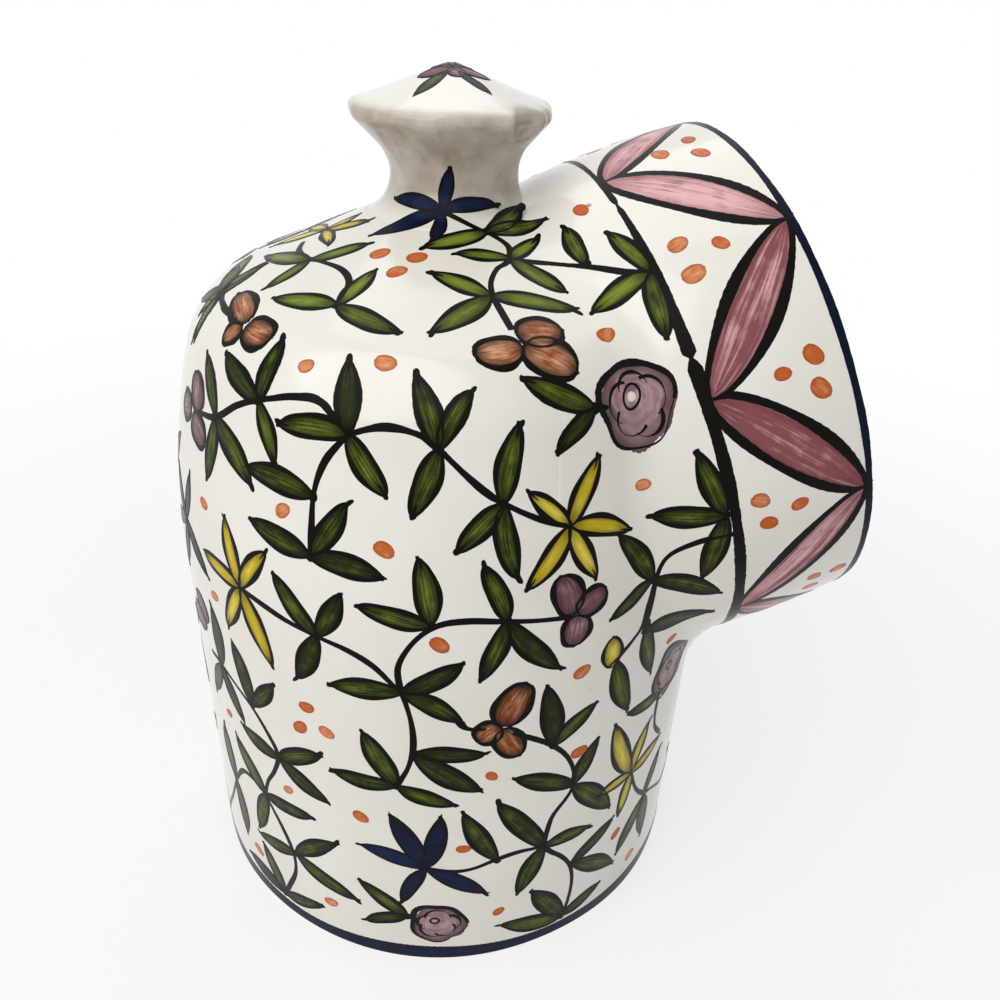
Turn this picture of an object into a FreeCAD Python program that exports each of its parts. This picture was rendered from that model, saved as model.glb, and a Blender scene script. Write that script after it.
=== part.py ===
import FreeCAD, Part
import Sketcher
import math
import os

# Salt pig: a bell-shaped earthenware jar with a mushroom knob and a wide slanted mouth.
# Millimetres, +Z up. The origin is on the bell's axis, on the plane that it stands on.
# The mouth looks along +X and tilts up. Every clay piece is a body of its own.

SIZES = {
    # bell: outside of the wall, from the foot to the crown
    "belly_radius": 63.6,
    "foot_tuck": 0.8,
    "shoulder_height": 87.5,
    "sweep_radius": 185.0,
    "turn_radius": 22.0,
    "dome_slope": 23.4,
    "crown_height": 170.3,
    "wall_thickness": 6.0,
    "foot_round": 1.5,
    # floor: a disc luted inside the foot, with a coil smoothed into the corner
    "floor_thickness": 7.0,
    "corner_coil": 8.0,
    # mouth: its axis tilts up from the bell's axis; cover is the clay above the bore there
    "mouth_cover": 17.0,
    "mouth_tilt": 17.6,
    "mouth_side": 11.6,
    "collar_wall": 6.8,
    "collar_swell": 200.0,
    "seam_set_in": 16.1,
    "seam_to_widest": 12.5,
    "collar_length": 30.0,
    "lip_share": 0.464,
    "neck_blend": 14.0,
    "skirt_edge": 0.1,
    # knob: a waisted stem under a shallow pointed cap
    "knob_rise": 20.4,
    "stem_radius": 13.3,
    "cap_radius": 20.4,
    "cap_edge": 2.0,
    "cap_under_slope": 47.0,
    "cap_top_slope": 20.0,
    "tip_round": 5.0,
}

# What follows from the sizes. Distances in the mouth are along its axis, from the bell's axis.
FOLLOWING = {
    "foot_radius": "belly_radius - foot_tuck",
    "bore_radius": "belly_radius - mouth_side",
    "collar_radius": "bore_radius + collar_wall",
    "mouth_height": "crown_height - mouth_cover - bore_radius",
    "seam_reach": "belly_radius - seam_set_in",
    "collar_widest": "seam_reach + seam_to_widest",
    "rim_reach": "seam_reach + collar_length",
    "rim_fall": "collar_swell - sqrt(collar_swell ^ 2 - (rim_reach - collar_widest) ^ 2)",
    "rim_round": "lip_share * (collar_wall - rim_fall)",
    "knob_height": "crown_height + knob_rise",
}

doc = FreeCAD.newDocument("salt_pig")
sheet = doc.addObject("Spreadsheet::Sheet", "sizes")
for row, (alias, value) in enumerate(SIZES.items(), start=1):
    sheet.set(f"A{row}", alias)
    sheet.set(f"B{row}", str(value))
    sheet.setAlias(f"B{row}", alias)
for row, (alias, formula) in enumerate(FOLLOWING.items(), start=len(SIZES) + 1):
    sheet.set(f"A{row}", alias)
    sheet.set(f"B{row}", "=" + formula)
    sheet.setAlias(f"B{row}", alias)
doc.recompute()

ORIGIN = (-1, 1)
BELL_INSIDE = "sizes.wall_thickness"
BELL_SUNK = "sizes.skirt_edge"
BELL_OUTSIDE = "0"
AXIS = "0"
PAST_RIM = "2 * sizes.rim_reach"
LEAST_CHANGE = 1.0  # mm3 that a step must add or take away
SAME_PLANE = 1e-4  # mm


def size(alias):
    return float(sheet.get(alias))


def value_of(expression):
    value = sheet.evalExpression(expression)
    return float(getattr(value, "Value", value))


def new_body(label):
    body = doc.addObject("PartDesign::Body", label)
    body.Label = label
    body.Placement = FreeCAD.Placement()
    return body


def new_sketch(body, name, role):
    plane = [feature for feature in body.Origin.OriginFeatures if feature.Role == role][0]
    sketch = body.newObject("Sketcher::SketchObject", name)
    sketch.AttachmentSupport = (plane, [""])
    sketch.MapMode = "FlatFace"
    return sketch


def upright_sketch(body, name):
    # Half section of the bell: x is the radius and y the height.
    return new_sketch(body, name, "YZ_Plane")


def mouth_sketch(body, name):
    # Half section of the mouth: x runs out along its tilted axis and y is the radius.
    sketch = new_sketch(body, name, "XY_Plane")
    tilt = FreeCAD.Rotation(FreeCAD.Vector(0, -1, 0), size("mouth_tilt"))
    sketch.AttachmentOffset = FreeCAD.Placement(FreeCAD.Vector(0, 0, size("mouth_height")), tilt)
    sketch.setExpression("AttachmentOffset.Base.z", "sizes.mouth_height")
    sketch.setExpression("AttachmentOffset.Rotation.Angle", "sizes.mouth_tilt * 1 deg")
    return sketch


def add_line(sketch, start, end):
    return sketch.addGeometry(Part.LineSegment(FreeCAD.Vector(*start, 0), FreeCAD.Vector(*end, 0)))


def add_arc(sketch, centre, radius, start_degrees, end_degrees):
    # Anticlockwise from the start angle to the end angle.
    circle = Part.Circle(FreeCAD.Vector(*centre, 0), FreeCAD.Vector(0, 0, 1), radius)
    arc = Part.ArcOfCircle(circle, math.radians(start_degrees), math.radians(end_degrees))
    return sketch.addGeometry(arc)


def join(sketch, first, second):
    sketch.addConstraint(Sketcher.Constraint("Coincident", *first, *second))


def flow(sketch, first, second):
    # The two ends meet and run on in one direction.
    sketch.addConstraint(Sketcher.Constraint("Tangent", *first, *second))


def on_across(sketch, line, end):
    # The end lies on the sketch's level axis.
    sketch.addConstraint(Sketcher.Constraint("PointOnObject", line, end, -1))


def on_upright(sketch, line, end):
    # The end lies on the sketch's upright axis.
    sketch.addConstraint(Sketcher.Constraint("PointOnObject", line, end, -2))


def bind(sketch, name, expression, kind, *places):
    # A dimension that takes its value from the sheet.
    start_value = value_of(expression)
    if kind == "Angle":
        start_value = math.radians(start_value)
    index = sketch.addConstraint(Sketcher.Constraint(kind, *places, start_value))
    sketch.renameConstraint(index, name)
    sketch.setExpression("Constraints." + name, expression)


def solid_of_turn(body, kind, name, sketch, axis):
    turn = body.newObject(kind, name)
    turn.Profile = sketch
    turn.ReferenceAxis = (sketch, [axis])
    turn.Angle = 360.0
    before = body.Shape.Volume if not body.Shape.isNull() else 0.0
    doc.recompute()
    if abs(turn.Shape.Volume - before) < LEAST_CHANGE:
        raise RuntimeError(f"{name} changed nothing")
    return turn


def add_turned(body, name, sketch, axis):
    return solid_of_turn(body, "PartDesign::Revolution", name, sketch, axis)


def cut_turned(body, name, sketch, axis):
    return solid_of_turn(body, "PartDesign::Groove", name, sketch, axis)


def round_edges(body, name, feature, edges, alias):
    fillet = body.newObject("PartDesign::Fillet", name)
    fillet.Base = (feature, edges)
    fillet.Radius = size(alias)
    fillet.setExpression("Radius", "sizes." + alias)
    doc.recompute()
    return fillet


def circles_at(feature, point, direction):
    # Names of the round edges whose plane holds the point and faces the direction.
    names = []
    for number, edge in enumerate(feature.Shape.Edges, start=1):
        if edge.Curve.TypeId != "Part::GeomCircle":
            continue
        if abs((edge.Curve.Center - point).dot(direction)) < SAME_PLANE:
            names.append((edge.Curve.Radius, f"Edge{number}"))
    return [name for radius, name in sorted(names)]


def crossing_edges(feature):
    # Names of the edges where two turned surfaces cross: the only free-form curves here.
    names = []
    for number, edge in enumerate(feature.Shape.Edges, start=1):
        if edge.Curve.TypeId == "Part::GeomBSplineCurve":
            names.append(f"Edge{number}")
    return names


def bell_sketch(body, name, inset):
    # Wall line, long sweep, tight turn and dome line, each running on from the last.
    # inset moves the whole outline inwards, so that the inside follows the outside.
    sketch = upright_sketch(body, name)
    depth = value_of(inset)
    slope = math.radians(size("dome_slope"))
    foot = size("foot_radius") - depth
    belly = size("belly_radius") - depth
    shoulder = size("shoulder_height")
    sweep = size("sweep_radius") - depth
    turn = size("turn_radius") - depth
    crown = size("crown_height") - depth / math.cos(slope)

    lean = math.atan2(belly - foot, shoulder)
    sweep_centre = (belly - sweep * math.cos(lean), shoulder + sweep * math.sin(lean))
    below_dome = crown * math.cos(slope) - turn
    below_dome -= sweep_centre[0] * math.sin(slope) + sweep_centre[1] * math.cos(slope)
    lift = math.asin(below_dome / (sweep - turn)) - slope
    turn_centre = (
        sweep_centre[0] + (sweep - turn) * math.cos(lift),
        sweep_centre[1] + (sweep - turn) * math.sin(lift),
    )
    dome_foot = (turn_centre[0] + turn * math.sin(slope), turn_centre[1] + turn * math.cos(slope))

    base = add_line(sketch, (0, 0), (foot, 0))
    wall = add_line(sketch, (foot, 0), (belly, shoulder))
    sweep_arc = add_arc(sketch, sweep_centre, sweep, -math.degrees(lean), math.degrees(lift))
    turn_arc = add_arc(sketch, turn_centre, turn, math.degrees(lift), 90 - size("dome_slope"))
    dome = add_line(sketch, dome_foot, (0, crown))
    axis = add_line(sketch, (0, crown), (0, 0))

    join(sketch, (base, 1), ORIGIN)
    join(sketch, (base, 2), (wall, 1))
    flow(sketch, (wall, 2), (sweep_arc, 1))
    flow(sketch, (sweep_arc, 2), (turn_arc, 1))
    flow(sketch, (turn_arc, 2), (dome, 1))
    join(sketch, (dome, 2), (axis, 1))
    join(sketch, (axis, 2), (base, 1))
    sketch.addConstraint(Sketcher.Constraint("Horizontal", base))
    sketch.addConstraint(Sketcher.Constraint("Vertical", axis))
    bind(sketch, "foot", f"sizes.foot_radius - {inset}", "DistanceX", *ORIGIN, base, 2)
    bind(sketch, "belly", f"sizes.belly_radius - {inset}", "DistanceX", *ORIGIN, wall, 2)
    bind(sketch, "shoulder", "sizes.shoulder_height", "DistanceY", *ORIGIN, wall, 2)
    bind(sketch, "sweep", f"sizes.sweep_radius - {inset}", "Radius", sweep_arc)
    bind(sketch, "turn", f"sizes.turn_radius - {inset}", "Radius", turn_arc)
    bind(sketch, "slope", "180 deg - sizes.dome_slope * 1 deg", "Angle", dome)
    drop = f"{inset} / cos(sizes.dome_slope * 1 deg)"
    bind(sketch, "crown", f"sizes.crown_height - {drop}", "DistanceY", *ORIGIN, axis, 1)
    return sketch


def barrel_radius(reach):
    # Outside radius of the mouth at a distance along its axis.
    swell = size("collar_swell")
    offset = reach - size("collar_widest")
    return size("collar_radius") - swell + math.sqrt(swell * swell - offset * offset)


def stump_sketch(body):
    # Half section of the whole mouth, filled in: from the bell's axis to the rim, swelling between.
    sketch = mouth_sketch(body, "mouth_section")
    reach = size("rim_reach")
    swell = size("collar_swell")
    centre = (size("collar_widest"), size("collar_radius") - swell)
    root_angle = math.degrees(math.acos(-centre[0] / swell))
    rim_angle = math.degrees(math.acos((reach - centre[0]) / swell))
    root_radius = barrel_radius(0)
    rim_radius = barrel_radius(reach)

    root = add_line(sketch, (0, 0), (0, root_radius))
    outside = add_arc(sketch, centre, swell, rim_angle, root_angle)
    rim = add_line(sketch, (reach, rim_radius), (reach, 0))
    axis = add_line(sketch, (reach, 0), (0, 0))

    join(sketch, (root, 1), ORIGIN)
    join(sketch, (root, 2), (outside, 2))
    join(sketch, (outside, 1), (rim, 1))
    join(sketch, (rim, 2), (axis, 1))
    join(sketch, (axis, 2), (root, 1))
    sketch.addConstraint(Sketcher.Constraint("Vertical", root))
    sketch.addConstraint(Sketcher.Constraint("Vertical", rim))
    sketch.addConstraint(Sketcher.Constraint("Horizontal", axis))
    bind(sketch, "widest", "sizes.collar_widest", "DistanceX", *ORIGIN, outside, 3)
    bind(sketch, "sunk", "sizes.collar_swell - sizes.collar_radius", "DistanceY", outside, 3, *ORIGIN)
    bind(sketch, "swell", "sizes.collar_swell", "Radius", outside)
    bind(sketch, "reach", "sizes.rim_reach", "DistanceX", *ORIGIN, rim, 1)
    return sketch


def block_sketch(body, name, start, end, radius):
    # Half section of a plain round block about the mouth's axis, between two distances along it.
    sketch = mouth_sketch(body, name)
    first = value_of(start)
    last = value_of(end)
    outer = value_of(radius)
    near = add_line(sketch, (first, 0), (first, outer))
    wall = add_line(sketch, (first, outer), (last, outer))
    far = add_line(sketch, (last, outer), (last, 0))
    axis = add_line(sketch, (last, 0), (first, 0))
    for one, other in ((near, wall), (wall, far), (far, axis), (axis, near)):
        join(sketch, (one, 2), (other, 1))
    sketch.addConstraint(Sketcher.Constraint("Vertical", near))
    sketch.addConstraint(Sketcher.Constraint("Horizontal", wall))
    sketch.addConstraint(Sketcher.Constraint("Vertical", far))
    on_across(sketch, near, 1)
    on_across(sketch, far, 2)
    if first == 0:
        on_upright(sketch, near, 2)
    else:
        bind(sketch, "start", start, "DistanceX", *ORIGIN, near, 1)
    bind(sketch, "end", end, "DistanceX", *ORIGIN, far, 2)
    bind(sketch, "radius", radius, "DistanceY", near, 1, near, 2)
    return sketch


def bore_sketch(body):
    # The way in: a straight round passage from the bell's axis out past the rim.
    return block_sketch(body, "bore_section", AXIS, PAST_RIM, "sizes.bore_radius")


def knob_sketch(body):
    # From the dome up: one hollow arc for the waist, the cap's underside, blunt edge, cap and tip.
    # The arc touches the dome and the underside, so its radius follows from the knob's height.
    sketch = upright_sketch(body, "knob_section")
    slope = math.radians(size("dome_slope"))
    under = math.radians(size("cap_under_slope"))
    top = math.radians(size("cap_top_slope"))
    stem = size("stem_radius")
    edge = size("cap_edge")
    tip = size("tip_round")
    crown = size("crown_height")

    tip_centre = size("knob_height") - tip
    tip_end = (tip * math.sin(top), tip_centre + tip * math.cos(top))
    edge_x = size("cap_radius") - edge
    top_start_x = edge_x + edge * math.sin(top)
    top_start = (top_start_x, tip_end[1] - (top_start_x - tip_end[0]) * math.tan(top))
    edge_y = top_start[1] - edge * math.cos(top)
    under_end = (edge_x + edge * math.sin(under), edge_y - edge * math.cos(under))
    dome_rise = (1 - math.sin(slope)) / math.cos(slope)
    room = (under_end[1] - crown + stem * math.tan(slope)) * math.cos(under)
    room -= (under_end[0] - stem) * math.sin(under)
    waist_radius = room / (dome_rise * math.cos(under) + 1 - math.sin(under))
    waist = (stem + waist_radius, crown - stem * math.tan(slope) + waist_radius * dome_rise)
    foot = (waist[0] - waist_radius * math.sin(slope), waist[1] - waist_radius * math.cos(slope))
    throat = (waist[0] - waist_radius * math.sin(under), waist[1] + waist_radius * math.cos(under))

    seat = add_line(sketch, (0, crown), foot)
    flare = add_arc(sketch, waist, waist_radius, 180, 270 - size("dome_slope"))
    hollow = add_arc(sketch, waist, waist_radius, 90 + size("cap_under_slope"), 180)
    underside = add_line(sketch, throat, under_end)
    edge_arc = add_arc(sketch, (edge_x, edge_y), edge, size("cap_under_slope") - 90,
                       90 - size("cap_top_slope"))
    cap = add_line(sketch, top_start, tip_end)
    tip_arc = add_arc(sketch, (0, tip_centre), tip, 90 - size("cap_top_slope"), 90)
    axis = add_line(sketch, (0, size("knob_height")), (0, crown))

    join(sketch, (axis, 2), (seat, 1))
    flow(sketch, (seat, 2), (flare, 2))
    flow(sketch, (flare, 1), (hollow, 2))
    flow(sketch, (hollow, 1), (underside, 1))
    flow(sketch, (underside, 2), (edge_arc, 1))
    flow(sketch, (edge_arc, 2), (cap, 1))
    flow(sketch, (cap, 2), (tip_arc, 1))
    join(sketch, (tip_arc, 2), (axis, 1))
    on_upright(sketch, seat, 1)
    on_upright(sketch, tip_arc, 2)
    on_upright(sketch, tip_arc, 3)
    sketch.addConstraint(Sketcher.Constraint("Horizontal", flare, 3, flare, 1))
    sketch.addConstraint(Sketcher.Constraint("Equal", flare, hollow))
    bind(sketch, "crown", "sizes.crown_height", "DistanceY", *ORIGIN, seat, 1)
    bind(sketch, "slope", "-sizes.dome_slope * 1 deg", "Angle", seat)
    bind(sketch, "stem", "sizes.stem_radius", "DistanceX", *ORIGIN, flare, 1)
    bind(sketch, "under", "sizes.cap_under_slope * 1 deg", "Angle", underside)
    bind(sketch, "edge", "sizes.cap_edge", "Radius", edge_arc)
    bind(sketch, "width", "sizes.cap_radius - sizes.cap_edge", "DistanceX", *ORIGIN, edge_arc, 3)
    bind(sketch, "top", "180 deg - sizes.cap_top_slope * 1 deg", "Angle", cap)
    bind(sketch, "tip", "sizes.tip_round", "Radius", tip_arc)
    bind(sketch, "height", "sizes.knob_height", "DistanceY", *ORIGIN, tip_arc, 2)
    return sketch


def make_bell_wall():
    # Thrown closed over the top, then the round mouth hole is cut in its side.
    body = new_body("bell_wall")
    outside = add_turned(body, "thrown_bell", bell_sketch(body, "bell_outside", BELL_OUTSIDE), "V_Axis")
    foot_plane = circles_at(outside, FreeCAD.Vector(), FreeCAD.Vector(0, 0, 1))
    round_edges(body, "foot_edge", outside, foot_plane[-1:], "foot_round")
    cut_turned(body, "hollow", bell_sketch(body, "bell_inside", BELL_INSIDE), "V_Axis")
    cut_turned(body, "mouth_hole", bore_sketch(body), "H_Axis")
    return body


def make_base_disc():
    # Sits inside the leaning wall, flush with the foot.
    body = new_body("base_disc")
    sketch = upright_sketch(body, "disc_section")
    thickness = size("floor_thickness")
    lean = (size("belly_radius") - size("foot_radius")) / size("shoulder_height")
    foot = size("foot_radius") - size("wall_thickness")
    bottom = add_line(sketch, (0, 0), (foot, 0))
    side = add_line(sketch, (foot, 0), (foot + lean * thickness, thickness))
    top = add_line(sketch, (foot + lean * thickness, thickness), (0, thickness))
    axis = add_line(sketch, (0, thickness), (0, 0))
    for first, second in ((bottom, side), (side, top), (top, axis), (axis, bottom)):
        join(sketch, (first, 2), (second, 1))
    join(sketch, (bottom, 1), ORIGIN)
    sketch.addConstraint(Sketcher.Constraint("Horizontal", bottom))
    sketch.addConstraint(Sketcher.Constraint("Horizontal", top))
    sketch.addConstraint(Sketcher.Constraint("Vertical", axis))
    bind(sketch, "foot", "sizes.foot_radius - sizes.wall_thickness", "DistanceX", *ORIGIN, bottom, 2)
    bind(sketch, "top", FLOOR_RADIUS, "DistanceX", *ORIGIN, side, 2)
    bind(sketch, "thickness", "sizes.floor_thickness", "DistanceY", *ORIGIN, side, 2)
    add_turned(body, "floor_slab", sketch, "V_Axis")
    return body


def wall_inside_at(height):
    # Inside radius of the leaning wall at a height, in words of the sheet.
    lean = "(sizes.belly_radius - sizes.foot_radius) / sizes.shoulder_height"
    return f"sizes.foot_radius - sizes.wall_thickness + {lean} * ({height})"


FLOOR_RADIUS = wall_inside_at("sizes.floor_thickness")
COIL_RADIUS = wall_inside_at("sizes.floor_thickness + sizes.corner_coil")


def make_base_coil():
    # A coil smoothed into the corner between floor and wall, hollow side inwards.
    body = new_body("base_coil")
    sketch = upright_sketch(body, "coil_section")
    coil = size("corner_coil")
    floor = size("floor_thickness")
    lean = (size("belly_radius") - size("foot_radius")) / size("shoulder_height")
    low = size("foot_radius") - size("wall_thickness") + lean * floor
    high = low + lean * coil
    flat = add_line(sketch, (high - coil, floor), (low, floor))
    back = add_line(sketch, (low, floor), (high, floor + coil))
    hollow = add_arc(sketch, (high - coil, floor + coil), coil, 270, 360)
    join(sketch, (flat, 2), (back, 1))
    join(sketch, (back, 2), (hollow, 2))
    join(sketch, (hollow, 1), (flat, 1))
    sketch.addConstraint(Sketcher.Constraint("Horizontal", flat))
    sketch.addConstraint(Sketcher.Constraint("Vertical", hollow, 3, flat, 1))
    sketch.addConstraint(Sketcher.Constraint("Horizontal", hollow, 3, back, 2))
    bind(sketch, "floor", "sizes.floor_thickness", "DistanceY", *ORIGIN, flat, 2)
    bind(sketch, "low", FLOOR_RADIUS, "DistanceX", *ORIGIN, back, 1)
    bind(sketch, "high", COIL_RADIUS, "DistanceX", *ORIGIN, back, 2)
    bind(sketch, "coil", "sizes.corner_coil", "Radius", hollow)
    add_turned(body, "corner_fillet", sketch, "V_Axis")
    return body


def add_blended_mouth(body):
    # The filled-in mouth is joined to a bell sunk a little below the real one and their crossing is blended.
    # Taking the real bell out again leaves the mouth with a skirt that meets the bell in a thin blunt edge.
    sunk = bell_sketch(body, "bell_sunk", BELL_SUNK)
    add_turned(body, "bell_form", sunk, "V_Axis")
    joined = add_turned(body, "mouth_form", stump_sketch(body), "H_Axis")
    round_edges(body, "blend", joined, crossing_edges(joined), "neck_blend")
    cut_turned(body, "bell_taken_out", bell_sketch(body, "bell_outside", BELL_OUTSIDE), "V_Axis")


def make_mouth_neck():
    # The saddle of clay between the bell and the collar's flat seam, cut away round the knob's stem.
    body = new_body("mouth_neck")
    add_blended_mouth(body)
    beyond = block_sketch(body, "collar_space", "sizes.seam_reach", PAST_RIM, PAST_RIM)
    cut_turned(body, "collar_taken_out", beyond, "H_Axis")
    cut_turned(body, "bore", bore_sketch(body), "H_Axis")
    cut_turned(body, "knob_taken_out", knob_sketch(body), "V_Axis")
    return body


def make_mouth_collar():
    # The thrown ring beyond the seam, with its rounded lip and the fillet under its lowest part.
    body = new_body("mouth_collar")
    add_blended_mouth(body)
    behind = block_sketch(body, "neck_space", AXIS, "sizes.seam_reach", PAST_RIM)
    cut_turned(body, "neck_taken_out", behind, "H_Axis")
    ring = cut_turned(body, "bore", bore_sketch(body), "H_Axis")
    tilt = math.radians(size("mouth_tilt"))
    along = FreeCAD.Vector(math.cos(tilt), 0, math.sin(tilt))
    rim_centre = FreeCAD.Vector(0, 0, size("mouth_height")) + along * size("rim_reach")
    round_edges(body, "lip", ring, circles_at(ring, rim_centre, along), "rim_round")
    return body


def make_knob():
    # Thrown solid and luted on the crown.
    body = new_body("knob")
    add_turned(body, "thrown_knob", knob_sketch(body), "V_Axis")
    return body


pieces = [
    make_bell_wall(),
    make_base_disc(),
    make_base_coil(),
    make_mouth_neck(),
    make_mouth_collar(),
    make_knob(),
]
doc.recompute()

for item in doc.Objects:
    if "Invalid" in item.State or "Error" in item.State:
        raise RuntimeError(f"{item.Label} failed: {item.State}")
for piece in pieces:
    if piece.Shape.isNull() or not piece.Shape.isValid() or len(piece.Shape.Solids) != 1:
        raise RuntimeError(f"{piece.Label} is not one valid solid")

os.makedirs("parts", exist_ok=True)
for piece in pieces:
    piece.Shape.exportStep(f"parts/{piece.Label}.step")
    box = piece.Shape.BoundBox
    print(f"{piece.Label}: {piece.Shape.Volume:.0f} mm3, {box.XMin:.1f}..{box.XMax:.1f}, "
          f"{box.YMin:.1f}..{box.YMax:.1f}, {box.ZMin:.1f}..{box.ZMax:.1f}")
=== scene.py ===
import math

import bpy
import numpy as np
from mathutils import Matrix, Vector


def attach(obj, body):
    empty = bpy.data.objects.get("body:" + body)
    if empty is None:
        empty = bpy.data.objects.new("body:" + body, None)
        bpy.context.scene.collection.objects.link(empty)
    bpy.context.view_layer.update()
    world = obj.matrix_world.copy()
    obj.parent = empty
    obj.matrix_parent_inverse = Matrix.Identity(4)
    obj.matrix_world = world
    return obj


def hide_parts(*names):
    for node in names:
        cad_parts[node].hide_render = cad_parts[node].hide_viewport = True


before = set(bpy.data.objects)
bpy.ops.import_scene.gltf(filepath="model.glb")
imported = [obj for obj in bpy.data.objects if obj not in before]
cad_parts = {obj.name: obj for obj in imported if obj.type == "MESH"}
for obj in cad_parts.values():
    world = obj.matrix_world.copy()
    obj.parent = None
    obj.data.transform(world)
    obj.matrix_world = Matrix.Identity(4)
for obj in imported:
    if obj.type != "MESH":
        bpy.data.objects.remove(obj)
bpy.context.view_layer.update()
mm = 0.001
print("frame loaded")

# The pot's form in millimetres, the same sizes as the clay pieces have.
pot = {
    "footRadius": 62.8, "bellyRadius": 63.6, "shoulderHeight": 87.5, "sweepRadius": 185.0,
    "turnRadius": 22.0, "domeSlope": 23.4, "crownHeight": 170.3, "wall": 6.0, "footRound": 1.5,
    "mouthHeight": 101.3, "mouthTilt": 17.6, "boreRadius": 52.0, "collarRadius": 58.8,
    "collarSwell": 200.0, "collarWidest": 60.0, "seamReach": 47.5, "rimReach": 77.5,
    "rimRound": 2.8, "neckBlend": 14.0,
    "knobHeight": 190.7, "stemRadius": 13.3, "capRadius": 20.4, "capEdge": 2.0,
    "capUnderSlope": 47.0, "capTopSlope": 20.0, "tipRound": 5.0,
}

slope = math.radians(pot["domeSlope"])
lean = math.atan2(pot["bellyRadius"] - pot["footRadius"], pot["shoulderHeight"])
sweepCentre = (pot["bellyRadius"] - pot["sweepRadius"] * math.cos(lean),
               pot["shoulderHeight"] + pot["sweepRadius"] * math.sin(lean))
belowDome = (pot["crownHeight"] * math.cos(slope) - pot["turnRadius"]
             - sweepCentre[0] * math.sin(slope) - sweepCentre[1] * math.cos(slope))
sweepEnd = math.asin(belowDome / (pot["sweepRadius"] - pot["turnRadius"])) - slope
turnCentre = (sweepCentre[0] + (pot["sweepRadius"] - pot["turnRadius"]) * math.cos(sweepEnd),
              sweepCentre[1] + (pot["sweepRadius"] - pot["turnRadius"]) * math.sin(sweepEnd))
domeFoot = (turnCentre[0] + pot["turnRadius"] * math.sin(slope),
            turnCentre[1] + pot["turnRadius"] * math.cos(slope))
wallLength = math.hypot(pot["bellyRadius"] - pot["footRadius"], pot["shoulderHeight"])
sweepLength = pot["sweepRadius"] * (sweepEnd + lean)
turnLength = pot["turnRadius"] * (math.pi / 2 - slope - sweepEnd)
domeLength = domeFoot[0] / math.cos(slope)
bellLength = wallLength + sweepLength + turnLength + domeLength

tilt = math.radians(pot["mouthTilt"])
mouthAlong = np.array([math.cos(tilt), 0.0, math.sin(tilt)])
mouthUp = np.array([-math.sin(tilt), 0.0, math.cos(tilt)])
mouthSide = np.array([0.0, 1.0, 0.0])
mouthRoot = np.array([0.0, 0.0, pot["mouthHeight"]])

capUnder = math.radians(pot["capUnderSlope"])
capTop = math.radians(pot["capTopSlope"])
tipEnd = (pot["tipRound"] * math.sin(capTop),
          pot["knobHeight"] - pot["tipRound"] * (1 - math.cos(capTop)))
edgeX = pot["capRadius"] - pot["capEdge"]
topStart = (edgeX + pot["capEdge"] * math.sin(capTop),
            tipEnd[1] - (edgeX + pot["capEdge"] * math.sin(capTop) - tipEnd[0]) * math.tan(capTop))
edgeY = topStart[1] - pot["capEdge"] * math.cos(capTop)
underEnd = (edgeX + pot["capEdge"] * math.sin(capUnder), edgeY - pot["capEdge"] * math.cos(capUnder))
domeRise = (1 - math.sin(slope)) / math.cos(slope)
waistRadius = ((underEnd[1] - pot["crownHeight"] + pot["stemRadius"] * math.tan(slope)) * math.cos(capUnder)
               - (underEnd[0] - pot["stemRadius"]) * math.sin(capUnder))
waistRadius /= domeRise * math.cos(capUnder) + 1 - math.sin(capUnder)
waist = (pot["stemRadius"] + waistRadius,
         pot["crownHeight"] - pot["stemRadius"] * math.tan(slope) + waistRadius * domeRise)


def unit(v):
    return v / np.maximum(np.linalg.norm(v, axis=-1, keepdims=True), 1e-9)


def bellOutline(rise):
    # Radius, height and slope of the normal at an arc length up the wall: line, wide arc, tight arc, line.
    a = rise - wallLength
    b = a - sweepLength
    c = b - turnLength
    share = rise / wallLength
    sweepAngle = a / pot["sweepRadius"] - lean
    turnAngle = b / pot["turnRadius"] + sweepEnd
    choices = [rise <= wallLength, a <= sweepLength, b <= turnLength]
    radius = np.select(choices, [
        pot["footRadius"] + (pot["bellyRadius"] - pot["footRadius"]) * share,
        sweepCentre[0] + pot["sweepRadius"] * np.cos(sweepAngle),
        turnCentre[0] + pot["turnRadius"] * np.cos(turnAngle)], domeFoot[0] - c * math.cos(slope))
    height = np.select(choices, [
        pot["shoulderHeight"] * share,
        sweepCentre[1] + pot["sweepRadius"] * np.sin(sweepAngle),
        turnCentre[1] + pot["turnRadius"] * np.sin(turnAngle)], domeFoot[1] + c * math.sin(slope))
    lift = np.select(choices, [np.full_like(share, -lean), sweepAngle, turnAngle],
                     np.full_like(share, math.pi / 2 - slope))
    return radius, height, lift


def onBell(turn, rise):
    # Point at a turn in degrees from the mouth and an arc length up the wall.
    radius, height, lift = bellOutline(np.asarray(rise, float))
    angle = np.radians(np.asarray(turn, float))
    return np.stack([radius * np.cos(angle), radius * np.sin(angle), height], -1)


def onMouth(angle, reach, radius):
    # Point at an angle from the mouth's top, a distance along its axis and a distance from it.
    angle = np.radians(angle)
    around = np.cos(angle)[..., None] * mouthUp + np.sin(angle)[..., None] * mouthSide
    return mouthRoot + reach[..., None] * mouthAlong + radius[..., None] * around


def onCollar(angle, reach):
    # Point at an angle from the collar's top and a distance along the mouth's axis, on the swelling barrel.
    angle, reach = np.asarray(angle, float), np.asarray(reach, float)
    drop = np.sqrt(pot["collarSwell"] ** 2 - (reach - pot["collarWidest"]) ** 2)
    return onMouth(angle, reach, pot["collarRadius"] - pot["collarSwell"] + drop)


def onBore(angle, reach):
    return onMouth(angle, reach, np.full_like(reach, pot["boreRadius"]))


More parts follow.
